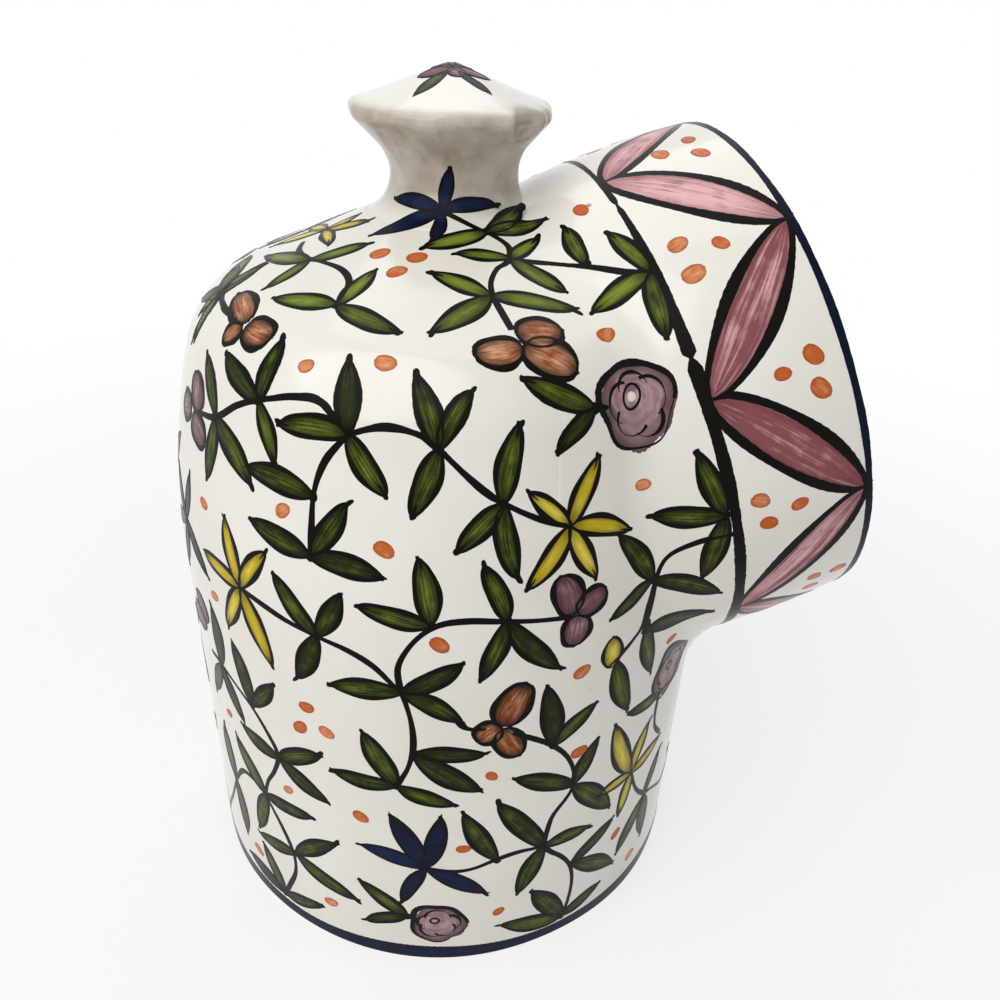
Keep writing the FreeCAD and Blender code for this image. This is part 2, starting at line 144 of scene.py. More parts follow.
def bellDistance(p, withStem=False):
    # Distance outside the bell and its direction, from the part of the outline that a point faces.
    radius = np.hypot(p[..., 0], p[..., 1])
    height = p[..., 2]
    tr, tz = radius - turnCentre[0], height - turnCentre[1]
    sr, sz = radius - sweepCentre[0], height - sweepCentre[1]
    turnAngle, sweepAngle = np.arctan2(tz, tr), np.arctan2(sz, sr)
    onTop = turnAngle >= math.pi / 2 - slope
    onTurn = (turnAngle >= sweepEnd) & ~onTop
    onSweep = (sweepAngle >= -lean) & ~onTop & ~onTurn
    waistOut = np.hypot(radius - waist[0], height - waist[1])
    onStem = radius < waist[0] - waistRadius * math.sin(slope)
    onStem &= withStem & (height > waist[1] - waistRadius)
    choices = [onStem, onTop, onTurn, onSweep]
    distance = np.select(choices, [
        waistRadius - waistOut,
        radius * math.sin(slope) + (height - pot["crownHeight"]) * math.cos(slope),
        np.hypot(tr, tz) - pot["turnRadius"], np.hypot(sr, sz) - pot["sweepRadius"]],
        (radius - pot["footRadius"]) * math.cos(lean) - height * math.sin(lean))
    lift = np.select(choices, [
        np.arctan2(waist[1] - height, waist[0] - radius),
        np.full_like(radius, math.pi / 2 - slope), turnAngle, sweepAngle], np.full_like(radius, -lean))
    safe = np.maximum(radius, 1e-6)
    away = np.stack([np.cos(lift) * p[..., 0] / safe, np.cos(lift) * p[..., 1] / safe, np.sin(lift)], -1)
    return distance, away


def mouthPlaces(p):
    # Distance along the mouth's axis, distance from it, and the direction away from it.
    q = p - mouthRoot
    along = q @ mouthAlong
    out = q - along[..., None] * mouthAlong
    return along, np.linalg.norm(out, axis=-1), unit(out)


behindMouth = 500.0  # a distance that never counts
longestSlide = 6.0
halvings = 40


def mouthDistance(p):
    # Distance outside the swelling barrel of the mouth, from the circle that its outline is part of.
    along, radius, out = mouthPlaces(p)
    a, b = along - pot["collarWidest"], radius - (pot["collarRadius"] - pot["collarSwell"])
    far = np.hypot(a, b)
    away = (a / far)[..., None] * mouthAlong + (b / far)[..., None] * out
    return np.where(along > 0, far - pot["collarSwell"], behindMouth), away


def potDistance(p, withStem=False):
    # Bell and mouth joined by a ball rolled along their crossing.
    # Within reach of both, the surface is the ball's; elsewhere it is the nearer of the two.
    a, na = bellDistance(p, withStem)
    b, nb = mouthDistance(p)
    ball = pot["neckBlend"]
    facing = np.clip((na * nb).sum(-1), -0.95, 0.95)
    fromBell = ((a - ball) - facing * (b - ball)) / (1 - facing ** 2)
    fromMouth = ((b - ball) - facing * (a - ball)) / (1 - facing ** 2)
    centreOff = fromBell[..., None] * na + fromMouth[..., None] * nb
    reach = np.linalg.norm(centreOff, axis=-1)
    blended = (fromBell < 0) & (fromMouth < 0)
    distance = np.where(blended, ball - reach, np.minimum(a, b))
    away = np.where(blended[..., None], -unit(centreOff), np.where((a < b)[..., None], na, nb))
    return distance, away


def settle(p, lift=0.0, rounds=6, withStem=False):
    # Points slide along the nearest direction until they lie on the pot, a set lift above it.
    for step in range(rounds):
        distance, away = potDistance(p, withStem)
        p = p - np.clip(distance - lift, -longestSlide, longestSlide)[..., None] * away
    return p, potDistance(p, withStem)[1]


def gridFaces(rows, cols, closeRows=False, closeCols=False):
    # Four-sided faces of a grid, row by row, wrapped round where a direction closes.
    r = np.arange(rows if closeRows else rows - 1)
    c = np.arange(cols if closeCols else cols - 1)
    r, c = np.meshgrid(r, c, indexing="ij")
    down, across = (r + 1) % rows, (c + 1) % cols
    return np.stack([r * cols + c, r * cols + across, down * cols + across, down * cols + c], -1).reshape(-1, 4)


def turned(radius, height, around):
    # An outline carried round the upright axis, one row for each of its points.
    angle = np.linspace(0, 2 * math.pi, around, endpoint=False)
    return np.stack([radius[:, None] * np.cos(angle), radius[:, None] * np.sin(angle),
                     np.repeat(height[:, None], around, 1)], -1)


def addObject(name, data):
    item = bpy.data.objects.new(name, data)
    bpy.context.scene.collection.objects.link(item)
    return item


def addPiece(name, points, faces, material, uv=None, tone=None, normals=None):
    # A mesh from points in millimetres, with its own flat map, a tone per point and smooth faces.
    mesh = bpy.data.meshes.new(name)
    faceList = faces if isinstance(faces, list) else faces.tolist()
    mesh.from_pydata((points.reshape(-1, 3) * mm).tolist(), [], faceList)
    corner = np.empty(len(mesh.loops), dtype=np.int32)
    mesh.loops.foreach_get("vertex_index", corner)
    if uv is not None:
        layer = mesh.uv_layers.new(name="brush")
        layer.data.foreach_set("uv", uv.reshape(-1, 2)[corner].astype(np.float32).ravel())
    if tone is not None:
        mark = mesh.attributes.new("tone", "FLOAT", "POINT")
        mark.data.foreach_set("value", tone.astype(np.float32).ravel())
    mesh.polygons.foreach_set("use_smooth", np.ones(len(mesh.polygons), dtype=bool))
    mesh.update()
    if normals is not None:
        mesh.normals_split_custom_set_from_vertices(normals.reshape(-1, 3).tolist())
    mesh.materials.append(material)
    piece = addObject(name, mesh)
    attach(piece, "root")
    print(name, len(mesh.vertices), "points")
    return piece


class NodeBench:
    # Adds nodes to one tree: a number or colour is set on its socket, and anything else is linked to it.
    def __init__(self, tree):
        self.nodes, self.links = tree.nodes, tree.links

    def feed(self, socket, value):
        if isinstance(value, (int, float, tuple)):
            socket.default_value = value
        else:
            self.links.new(value, socket)

    def put(self, kind, output, feeds, **settings):
        node = self.nodes.new("ShaderNode" + kind)
        for name, value in settings.items():
            setattr(node, name, value)
        for socket, value in feeds.items():
            self.feed(node.inputs[socket], value)
        return node.outputs if output is None else node.outputs[output]

    def calc(self, operation, first, second=0.0):
        return self.put("Math", 0, {0: first, 1: second}, operation=operation)

    def mix(self, share, first, second):
        return self.put("Mix", 2, {0: share, 6: first, 7: second}, data_type="RGBA")

    def noise(self, place, scale, detail, roughness=0.55):
        return self.put("TexNoise", "Fac", {"Vector": place, "Scale": scale, "Detail": detail,
                                            "Roughness": roughness})

    def ramp(self, value, low, high):
        return self.put("MapRange", "Result", {"Value": value, "From Min": low, "From Max": high},
                        interpolation_type="SMOOTHSTEP")

    def place(self):
        return self.put("TexCoord", "Object", {})

    def tone(self):
        return self.put("Attribute", "Fac", {}, attribute_name="tone")


# Shader groups shared by the glaze and the paints.
def newGroup(name, inputs, outputs):
    # An empty group with its bench and ends; a default that is a colour makes a colour socket.
    group = bpy.data.node_groups.new(name, "ShaderNodeTree")
    for label, value in inputs.items():
        kind = "NodeSocketColor" if isinstance(value, tuple) else "NodeSocketFloat"
        group.interface.new_socket(label, in_out="INPUT", socket_type=kind).default_value = value
    for label, kind in outputs.items():
        group.interface.new_socket(label, in_out="OUTPUT", socket_type=kind)
    bench = NodeBench(group)
    return group, bench, bench.nodes.new("NodeGroupInput").outputs, bench.nodes.new("NodeGroupOutput").inputs


skinGrain = {"waves": 38.0, "ripple": 160.0, "thick": 17.0, "thickShare": (0.35, 0.7),
             "pitCells": 120.0, "pitSize": (0.11, 0.04), "pitSpread": 60.0, "pitRare": (0.60, 0.66)}


def buildGlazeSkin(grain):
    # Slow waves where the glaze ran thicker, a fine ripple and scattered pinholes, as a height and masks.
    number = "NodeSocketFloat"
    group, bench, start, end = newGroup("glazeSkin", {"Waves": 0.6, "Ripple": 0.25, "Pits": 0.5},
                                        {"Height": number, "Thick": number, "Pit": number})
    place, calc = bench.place(), bench.calc
    cells = bench.put("TexVoronoi", "Distance", {"Vector": place, "Scale": grain["pitCells"], "Randomness": 1.0})
    rare = bench.ramp(bench.noise(place, grain["pitSpread"], 1.0), *grain["pitRare"])
    pit = calc("MULTIPLY", bench.ramp(cells, *grain["pitSize"]), rare)
    waves = calc("MULTIPLY", bench.noise(place, grain["waves"], 2.0), start["Waves"])
    ripple = calc("MULTIPLY", bench.noise(place, grain["ripple"], 3.0), start["Ripple"])
    raised = calc("ADD", waves, ripple)
    bench.feed(end["Height"], calc("SUBTRACT", raised, calc("MULTIPLY", pit, start["Pits"])))
    bench.feed(end["Thick"], bench.ramp(bench.noise(place, grain["thick"], 3.0), *grain["thickShare"]))
    bench.feed(end["Pit"], pit)
    return group


washGrain = {"along": 1.3, "across": 7.0, "perStroke": 37.0, "streaks": 1.6, "streakRough": 0.65,
             "pools": 260.0, "poolShare": 1.2, "edgeWaver": 0.35, "endShare": 0.96}


def buildBrushWash(grain):
    # Streaks along a brush stroke, a darker edge and a pool of colour, from the stroke's own map.
    # Tone is how pale the stroke is on the whole, 0 to 1.
    black, white = (0, 0, 0, 1), (1, 1, 1, 1)
    group, bench, start, end = newGroup("brushWash", {
        "Deep": black, "Mid": black, "Light": white, "Edge": 0.6, "Edge Start": 0.2, "Streaks": 0.5},
        {"Colour": "NodeSocketColor"})
    calc, tone = bench.calc, bench.tone()
    stroke = bench.put("SeparateXYZ", None, {"Vector": bench.put("UVMap", "UV", {}, uv_map="brush")})
    stretched = bench.put("CombineXYZ", "Vector", {
        "X": calc("MULTIPLY", stroke["X"], grain["along"]), "Y": calc("MULTIPLY", stroke["Y"], grain["across"]),
        "Z": calc("MULTIPLY", tone, grain["perStroke"])})
    streak = calc("SUBTRACT", bench.noise(stretched, grain["streaks"], 4.0, grain["streakRough"]), 0.5)
    pool = calc("SUBTRACT", bench.noise(bench.place(), grain["pools"], 3.0), 0.5)
    paleness = calc("ADD", calc("MULTIPLY", streak, start["Streaks"]), calc("MULTIPLY", pool, grain["poolShare"]))
    body = bench.mix(bench.ramp(calc("ADD", paleness, tone), 0.0, 1.0), start["Mid"], start["Light"])
    along, across = [calc("ABSOLUTE", calc("SUBTRACT", stroke[axis], 0.5)) for axis in "XY"]
    rim = calc("MAXIMUM", across, calc("MULTIPLY", along, grain["endShare"]))
    rim = calc("ADD", rim, calc("MULTIPLY", pool, grain["edgeWaver"]))
    share = calc("DIVIDE", calc("SUBTRACT", rim, start["Edge Start"]), calc("SUBTRACT", 0.5, start["Edge Start"]))
    dark = calc("MULTIPLY", bench.ramp(share, 0.0, 1.0), start["Edge"])
    bench.feed(end["Colour"], bench.mix(dark, body, start["Deep"]))
    return group


glazeSkin = buildGlazeSkin(skinGrain)
brushWash = buildBrushWash(washGrain)


def srgb(red, green, blue):
    # A screen colour, 0 to 255, as the linear colour that a shader takes.
    c = np.array([red, green, blue]) / 255.0
    c = np.where(c <= 0.04045, c / 12.92, ((c + 0.055) / 1.055) ** 2.4)
    return (float(c[0]), float(c[1]), float(c[2]), 1.0)


glassIor = 1.52
bumpDepth = 0.001  # metres


def newMaterial(name, roughness):
    material = bpy.data.materials.new(name)
    material.use_nodes = True
    bench = NodeBench(material.node_tree)
    shader = bench.nodes["Principled BSDF"].inputs
    shader["Roughness"].default_value = roughness
    shader["IOR"].default_value = glassIor
    return material, bench, shader


def addSkin(bench, shader, values, pits):
    # The glaze's waves, ripple and pinholes as a bump.
    skin = bench.put("Group", None, {"Waves": values["waves"], "Ripple": values["ripple"], "Pits": pits},
                     node_tree=glazeSkin)
    bench.feed(shader["Normal"], bench.put("Bump", "Normal", {
        "Strength": values["strength"], "Distance": bumpDepth, "Height": skin["Height"]}))
    return skin


# The third colour is a grey-brown painted in as shade under the knob's cap and down its stem; the grain, roughness,
# range and share on the line below break that shade into patches.
glaze = {
    "white": (240, 237, 231), "thin": (234, 229, 220), "paintedShade": (164, 150, 132), "pit": (150, 138, 122),
    "roughness": 0.14, "waves": 0.8, "ripple": 0.14, "pits": 0.35, "strength": 0.42,
    "shadeMottleGrain": 130.0, "shadeMottleRough": 0.6, "shadeMottleRange": (0.25, 0.7), "shadeMottleShare": 0.45,
    "paintRoughness": 0.24, "paintGloss": 0.06,
}


def makeGlaze(name, values):
    # White tin glaze: a little warmer where it is thin, with pinholes, and greyish in patches where a piece's tone
    # attribute asks for painted shade; only the knob has one, under its cap and on its stem.
    material, bench, shader = newMaterial(name, values["roughness"])
    skin = addSkin(bench, shader, values, values["pits"])
    body = bench.mix(skin["Thick"], srgb(*values["thin"]), srgb(*values["white"]))
    patchy = bench.noise(bench.place(), values["shadeMottleGrain"], 4.0, values["shadeMottleRough"])
    patchy = bench.ramp(patchy, *values["shadeMottleRange"])
    patchy = bench.calc("ADD", bench.calc("MULTIPLY", patchy, values["shadeMottleShare"]), 1 - values["shadeMottleShare"])
    # Painted shade: where the tone attribute is set, the white is darkened towards the grey-brown, in patches.
    body = bench.mix(bench.calc("MULTIPLY", bench.tone(), patchy), body, srgb(*values["paintedShade"]))
    bench.feed(shader["Base Color"], bench.mix(skin["Pit"], body, srgb(*values["pit"])))
    return material


paints = {
    "leafGreen": {"deep": (11, 14, 5), "mid": (35, 42, 14), "light": (126, 142, 48), "edge": 0.9, "edgeStart": 0.08,
                  "streaks": 1.6},
    "inkBlack": {"deep": (8, 7, 4), "mid": (11, 10, 6), "light": (24, 23, 17), "edge": 0.2, "edgeStart": 0.2,
                 "streaks": 0.8},
    "cobaltNavy": {"deep": (4, 8, 18), "mid": (7, 17, 40), "light": (16, 36, 76), "edge": 0.6, "edgeStart": 0.2,
                   "streaks": 1.2},
    "strawYellow": {"deep": (104, 86, 16), "mid": (196, 172, 34), "light": (240, 226, 104), "edge": 0.9,
                    "edgeStart": 0.08, "streaks": 1.6},
    "roseMauve": {"deep": (50, 32, 40), "mid": (116, 76, 86), "light": (208, 176, 180), "edge": 0.75,
                  "edgeStart": 0.12, "streaks": 1.6},
    "petalPink": {"deep": (100, 48, 54), "mid": (138, 82, 87), "light": (234, 184, 188), "edge": 0.55,
                  "edgeStart": 0.2, "streaks": 2.8},
    "berryBrown": {"deep": (34, 20, 12), "mid": (132, 66, 34), "light": (236, 180, 140), "edge": 0.95,
                   "edgeStart": 0.1, "streaks": 1.8},
    "dotOrange": {"deep": (156, 66, 26), "mid": (194, 98, 48), "light": (236, 176, 132), "edge": 0.7,
                  "edgeStart": 0.22, "streaks": 1.4},
}


def makePaint(name, values):
    # Paint under the glaze: the brush's colours, with the same waves as the white.
    material, bench, shader = newMaterial(name, glaze["paintRoughness"])
    shader["Specular IOR Level"].default_value = glaze["paintGloss"]
    addSkin(bench, shader, glaze, 0.0)
    wash = {label: srgb(*values[label.lower()]) for label in ("Deep", "Mid", "Light")}
    wash.update({"Edge": values["edge"], "Edge Start": values["edgeStart"], "Streaks": values["streaks"]})
    bench.feed(shader["Base Color"], bench.put("Group", "Colour", wash, node_tree=brushWash))
    return material


whiteGlaze = makeGlaze("whiteGlaze", glaze)
paintOf = {name: makePaint(name, values) for name, values in paints.items()}

bareClay = {"clay": (196, 158, 128), "dark": (150, 112, 84), "roughness": 0.85, "grit": 420.0, "gritShare": 0.6,
            "cloud": 40.0, "range": (0.35, 0.65), "strength": 0.4, "depth": 0.0004}


def makeClay(values):
    # Matt fired clay with fine grit.
    material, bench, shader = newMaterial("bareClay", values["roughness"])
    grit, cloud = bench.noise(bench.place(), values["grit"], 5.0), bench.noise(bench.place(), values["cloud"], 3.0)
    share = bench.calc("ADD", bench.calc("MULTIPLY", grit, values["gritShare"]),
                       bench.calc("MULTIPLY", cloud, 1 - values["gritShare"]))
    colour = bench.mix(bench.ramp(share, *values["range"]), srgb(*values["dark"]), srgb(*values["clay"]))
    bench.feed(shader["Base Color"], colour)
    bench.feed(shader["Normal"], bench.put("Bump", "Normal", {
        "Strength": values["strength"], "Distance": values["depth"], "Height": grit}))
    return material


clayMaterial = makeClay(bareClay)
print("materials made")


# The thrown bell: outside and inside skins with the same grid, joined at the foot and round the mouth hole.
bell = {"around": 288, "up": 126, "footSteps": 5, "holeOutside": 54.5, "holeInside": 52.6}


def bellSkin(depth, values):
    # The bell's outline, set in by a depth and rounded under at the foot, turned through a full circle.
    bend = np.radians(np.linspace(-90, 0, values["footSteps"], endpoint=False))
    rise = np.concatenate([np.zeros(len(bend)), np.linspace(pot["footRound"], bellLength, values["up"])])
    radius, height, lift = bellOutline(rise)
    radius = radius - depth * np.cos(lift)
    height = height - depth * np.sin(lift)
    if depth == 0:
        radius[:len(bend)] += pot["footRound"] * (np.cos(bend) - 1)
        height[:len(bend)] = pot["footRound"] * (1 + np.sin(bend))
    else:
        height[:len(bend)] = np.linspace(0, pot["footRound"], len(bend), endpoint=False)
    height[-1] = pot["crownHeight"] - depth / math.cos(slope)
    radius[-1] = 0.0
    points = turned(radius, height, values["around"])
    return (points, *mouthPlaces(points)[1:])


def makeBell(values):
    # Faces inside the hole are left out, and points on its edge are pushed out onto its circle.
    outside, out, away = bellSkin(0.0, values)
    inside, outIn, awayIn = bellSkin(pot["wall"], values)
    rows, cols = outside.shape[:2]
    total = rows * cols
    faces = gridFaces(rows, cols, closeCols=True)
    alongMid, outMid = mouthPlaces(0.5 * (outside + inside))[:2]
    inHole = ((alongMid > 0) & (outMid < 0.5 * (values["holeOutside"] + values["holeInside"]))).ravel()
    kept = faces[~inHole[faces].all(1)]
    count = np.bincount(kept.ravel(), minlength=total)
    rim = (count > 0) & (count < np.bincount(faces.ravel(), minlength=total))
    for skin, radius, spot, outward in ((outside, values["holeOutside"], out, away),
                                        (inside, values["holeInside"], outIn, awayIn)):
        tooNear = (alongMid.ravel() > 0) & (spot.ravel() < radius)
        push = np.where(rim | tooNear, radius - spot.ravel(), 0.0)
        skin.reshape(-1, 3)[:] += push[:, None] * outward.reshape(-1, 3)
    last = (kept >= total - cols).any(1)
    quads, fans = kept[~last], kept[last][:, :3].copy()
    fans[:, 2] = total - cols
    edges = np.concatenate([quads[:, [0, 1]], quads[:, [1, 2]], quads[:, [2, 3]], quads[:, [3, 0]],
                            fans[:, [0, 1]], fans[:, [1, 2]], fans[:, [2, 0]]])
    code = np.sort(edges, 1) @ np.array([total, 1])
    index, times = np.unique(code, return_index=True, return_counts=True)[1:]
    border = edges[index[times == 1]]
    bridge = np.stack([border[:, 1], border[:, 0], border[:, 0] + total, border[:, 1] + total], 1)
    points = np.concatenate([outside.reshape(-1, 3), inside.reshape(-1, 3)])
    squares = np.concatenate([quads, quads[:, ::-1] + total, bridge])
    fans = np.concatenate([fans, fans[:, ::-1] + total])
    used = np.unique(np.concatenate([squares.ravel(), fans.ravel()]))
    lookup = np.zeros(len(points), dtype=np.int64)
    lookup[used] = np.arange(len(used))
    return points[used], lookup[squares].tolist() + lookup[fans].tolist()


bellPoints, bellFaces = makeBell(bell)
bellPiece = addPiece("bellGlaze", bellPoints, bellFaces, whiteGlaze)
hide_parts("bell_wall")


# Neck and collar in one skin: round the mouth, and from the skirt over the blend, collar and lip into the bore.
mouth = {"around": 240, "skirt": 22, "skirtReach": 19.0, "barrel": 40, "lip": 12, "bore": 22, "sunk": 0.35,
         "boreOverlap": 1.2}


def crossingReach(angle, depth, radiusAt):
    # Distance along the mouth's axis where a line on its wall leaves the bell, by halving the stretch in turn.
    low, high = np.zeros_like(angle), np.full_like(angle, pot["rimReach"])
    for step in range(halvings):
        half = 0.5 * (low + high)
        inside = bellDistance(radiusAt(angle, half))[0] < -depth
        low, high = np.where(inside, half, low), np.where(inside, high, half)
    return high


def makeMouth(values):
    # Rows round the mouth: from the bell onto the blend, along the barrel, over the lip and down the bore.
    angle = np.linspace(-180, 180, values["around"], endpoint=False)
    cross = crossingReach(angle, 0.0, onCollar)
    start = onCollar(angle, cross)
    away = unit(bellDistance(start)[1])
    outward = mouthDistance(start)[1]
    along = unit(outward - (outward * away).sum(-1, keepdims=True) * away)
    step = np.linspace(values["skirtReach"], 0, values["skirt"], endpoint=False)
    skirt = start[None] + step[:, None, None] * along[None]
    distance, normal = bellDistance(skirt)
    skirt = skirt - distance[..., None] * normal
    lipStart = pot["rimReach"] - pot["rimRound"]
    share = np.linspace(0, 1, values["barrel"])
    reach = cross[None] + (lipStart - cross[None]) * share[:, None]
    barrel = onCollar(angle, reach)
    body, normals = settle(np.concatenate([skirt, barrel]), 0.0, 10)
    body[0] -= values["sunk"] * normals[0]
    lipAngle = np.linspace(0, math.pi, values["lip"] + 2)[1:-1]
    outer = np.linalg.norm(body[-1] - mouthRoot - lipStart * mouthAlong, axis=-1)
    half = 0.5 * (outer - pot["boreRadius"])
    centre = pot["boreRadius"] + half
    radius = centre[None] + half[None] * np.cos(lipAngle)[:, None]
    forward = lipStart + pot["rimRound"] * np.sin(lipAngle)
    lip = onMouth(angle, forward[:, None], radius)
    inner = crossingReach(angle, pot["wall"], onBore)
    share = np.linspace(0, 1, values["bore"])
    reach = lipStart + (inner[None] - values["boreOverlap"] - lipStart) * share[:, None]
    bore = onBore(angle, reach)
    points = np.concatenate([body, lip, bore])
    faces = gridFaces(points.shape[0], points.shape[1], closeRows=True, closeCols=True)
    return points, faces[:, ::-1]


mouthPoints, mouthFaces = makeMouth(mouth)
mouthPiece = addPiece("mouthGlaze", mouthPoints, mouthFaces, whiteGlaze)
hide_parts("mouth_neck", "mouth_collar")


# The knob: its outline turned about the axis, a little out of round, with a pinched edge and a thumb print.
knob = {"around": 144, "lean": 0.81, "outOfRound": 0.35, "edgeWaver": 0.30, "fineWaver": 0.10, "edgeRise": 0.24,
        "edgeSpread": 3.5, "leanTop": 1.2, "seatIn": 1.0, "seatDown": 1.5,
        "steps": {"waist": 26, "under": 10, "edge": 12, "cap": 16, "tip": 8},
        "print": {"x": 11.8, "y": -16.4, "z": 181.7, "radius": 4.1, "depth": 1.6, "steep": 1.4, "upward": 6.0,
                  "ridge": 0.30, "ridgeAt": 1.30, "ridgeWidth": 0.24}}
# How far the painted shade under the knob's cap reaches, and how dark it is in and round the thumb print.
knobShadeValues = {"waistBelow": 7.0, "waistFade": 5.0, "edgeAbove": 2.3, "edgeFade": 1.3,
            "ring": 0.75, "ringWidth": 0.2, "hollow": 0.4, "strength": 0.9}


def knobOutline(values):
    # Seat, hollow waist, underside, blunt edge, cap and round tip, as radius and height from bottom to top.
    def arc(centre, radius, first, last, count):
        a = np.radians(np.linspace(first, last, count))
        return np.stack([centre[0] + radius * np.cos(a), centre[1] + radius * np.sin(a)], -1)

    def line(first, last, count):
        s = np.linspace(0, 1, count)[1:-1, None]
        return np.array(first) + s * (np.array(last) - np.array(first))

    steps, capTurn, underTurn = values["steps"], 90 - pot["capTopSlope"], 90 + pot["capUnderSlope"]
    waistArc = arc(waist, waistRadius, 270 - pot["domeSlope"], underTurn, steps["waist"])
    edgeArc = arc((edgeX, edgeY), pot["capEdge"], underTurn - 180, capTurn, steps["edge"])
    tipArc = arc((0, pot["knobHeight"] - pot["tipRound"]), pot["tipRound"], capTurn, 90, steps["tip"])
    bottom = waistArc[:1] - (values["seatIn"], values["seatDown"])
    return np.concatenate([bottom, waistArc, line(waistArc[-1], edgeArc[0], steps["under"]), edgeArc,
                           line(edgeArc[-1], tipArc[0], steps["cap"]), tipArc[:-1]])


def fromPrint(p, mark):
    # Distance from the middle of the thumb print, as a share of its radius.
    return np.linalg.norm(p - np.array([mark["x"], mark["y"], mark["z"]]), axis=-1) / mark["radius"]


def shapeKnob(p, values):
    # The cap leans a little to one side, its edge wavers, and a thumb has pressed one place in.
    angle = np.arctan2(p[..., 1], p[..., 0])
    up = np.clip((p[..., 2] - waist[1]) / (edgeY - waist[1]), 0, values["leanTop"])
    radius = np.hypot(p[..., 0], p[..., 1])
    rim = np.exp(-((radius - pot["capRadius"]) / values["edgeSpread"]) ** 2) * np.minimum(up, 1)
    waver = values["outOfRound"] * np.sin(2 * angle + 0.6) * up
    waver += values["edgeWaver"] * rim * (0.5 * np.sin(5 * angle + 1.1) + 0.3 * np.sin(9 * angle + 0.2))
    waver += values["fineWaver"] * rim * np.sin(17 * angle + 2.0)
    q = p.copy()
    q[..., 0] += waver * np.cos(angle) - values["lean"] * up
    q[..., 1] += waver * np.sin(angle)
    q[..., 2] += values["edgeRise"] * rim * (np.sin(3 * angle + 0.5) + 0.5 * np.sin(7 * angle))
    mark = values["print"]
    off = fromPrint(q, mark)
    ridge = mark["ridge"] * np.exp(-((off - mark["ridgeAt"]) / mark["ridgeWidth"]) ** 2)
    dent = mark["depth"] * (np.exp(-mark["steep"] * off ** 4) - ridge)
    return q + dent[..., None] * unit(np.array([-mark["x"], -mark["y"], mark["upward"]]))


def makeKnob(values):
    # The outline carried round, closed by a fan at its tip and one under its seat.
    outline = knobOutline(values)
    points = shapeKnob(turned(outline[:, 0], outline[:, 1], values["around"]), values)
    rows, cols = points.shape[:2]
    top = shapeKnob(np.array([[0.0, 0.0, pot["knobHeight"]]]), values)
    base = np.array([[0.0, 0.0, points[0, :, 2].mean()]])
    ring = np.arange(cols)
    following, lastRow, end = (ring + 1) % cols, (rows - 1) * cols, rows * cols
    capFan = np.stack([lastRow + ring, lastRow + following, np.full(cols, end)], 1)
    baseFan = np.stack([following, ring, np.full(cols, end + 1)], 1)
    faces = gridFaces(rows, cols, closeCols=True).tolist() + capFan.tolist() + baseFan.tolist()
    return np.concatenate([points.reshape(-1, 3), top, base]), faces


def knobShadeMask(p, values):
    # Painted shade, strongest from the waist up to the cap's edge, where the cap shades the stem; also darker in and
    # round the thumb print.
    thin = np.clip((p[:, 2] - waist[1] + values["waistBelow"]) / values["waistFade"], 0, 1)
    thin = thin * np.clip((edgeY + values["edgeAbove"] - p[:, 2]) / values["edgeFade"], 0, 1)
    off = fromPrint(p, knob["print"])
    pressed = values["ring"] * np.exp(-((off - 1.0) / values["ringWidth"]) ** 2)
    pressed = pressed + values["hollow"] * np.exp(-off ** 4)
    return values["strength"] * np.maximum(thin, pressed)


knobPoints, knobFaces = makeKnob(knob)
# The knob's tone is its painted shade.
knobPiece = addPiece("knobGlaze", knobPoints, knobFaces, whiteGlaze,
                     tone=knobShadeMask(knobPoints, knobShadeValues))
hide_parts("knob")

for nodeName, nodeMaterial in (("base_disc", clayMaterial), ("base_coil", whiteGlaze)):
    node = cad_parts[nodeName]
    node.data.materials.clear()
    node.data.materials.append(nodeMaterial)

# The camera stands where the photograph was taken from; marks read from the picture use the same place.
camera = {"stand": (-0.03726, -0.19284, 0.20497), "aim": (0.21794, 0.83898, -0.49861), "roll": 2.51,
          "lens": 32.46, "sensor": 36.0, "picture": 1000.0}
sight = {"start": 60.0, "steps": 60, "stride": 0.9}


def cameraAxes(values):
    # Right, up and forward directions of the camera, rolled about the line of sight.
    aim = unit(np.array(values["aim"]))
    level = unit(np.cross(aim, [0.0, 0.0, 1.0]))
    above = np.cross(level, aim)
    turn = math.radians(values["roll"])
    return (level * math.cos(turn) + above * math.sin(turn),
            above * math.cos(turn) - level * math.sin(turn), aim)


def seenAt(across, down):
    # Point of the pot behind a place in the picture, found by stepping along the line of sight.
    right, up, aim = cameraAxes(camera)
    spread = camera["sensor"] / camera["lens"] / camera["picture"]
    x = (np.asarray(across, float) - camera["picture"] / 2) * spread
    y = (camera["picture"] / 2 - np.asarray(down, float)) * spread
    ray = unit(aim + x[..., None] * right + y[..., None] * up)
    eye = np.array(camera["stand"]) / mm
    reach = np.full(x.shape, sight["start"])
    for step in range(sight["steps"]):
        reach = reach + sight["stride"] * potDistance(eye + reach[..., None] * ray, True)[0]
    return eye + reach[..., None] * ray


# Painted decoration: washes and brush lines, as thin skins on the glaze.
paintLift = {"fill": 0.07, "ink": 0.13, "edge": 0.02}
brush = {"rows": 15, "cols": 7, "lineRows": 22, "overrun": 0.05, "skew": 0.92, "edgeFall": 8, "bend": 0.05,
         "fullness": (0.9, 1.1), "flick": 0.5, "flickFrom": 0.93, "flickOver": 0.12,
         "waver": 0.22, "thinEnds": 0.62, "swell": 0.5, "swellPower": 0.6,
         "inkTone": 0.1, "nodeWidths": (0.8, 1.1), "nodeFullness": 0.5}
stemZone = {"radius": 30, "mouthSide": 28}
farSide = np.array([1.0, -1.0, 1.0])
middleGap = 9.0
wholeTurn = 6.3
chance = np.random.default_rng(7)


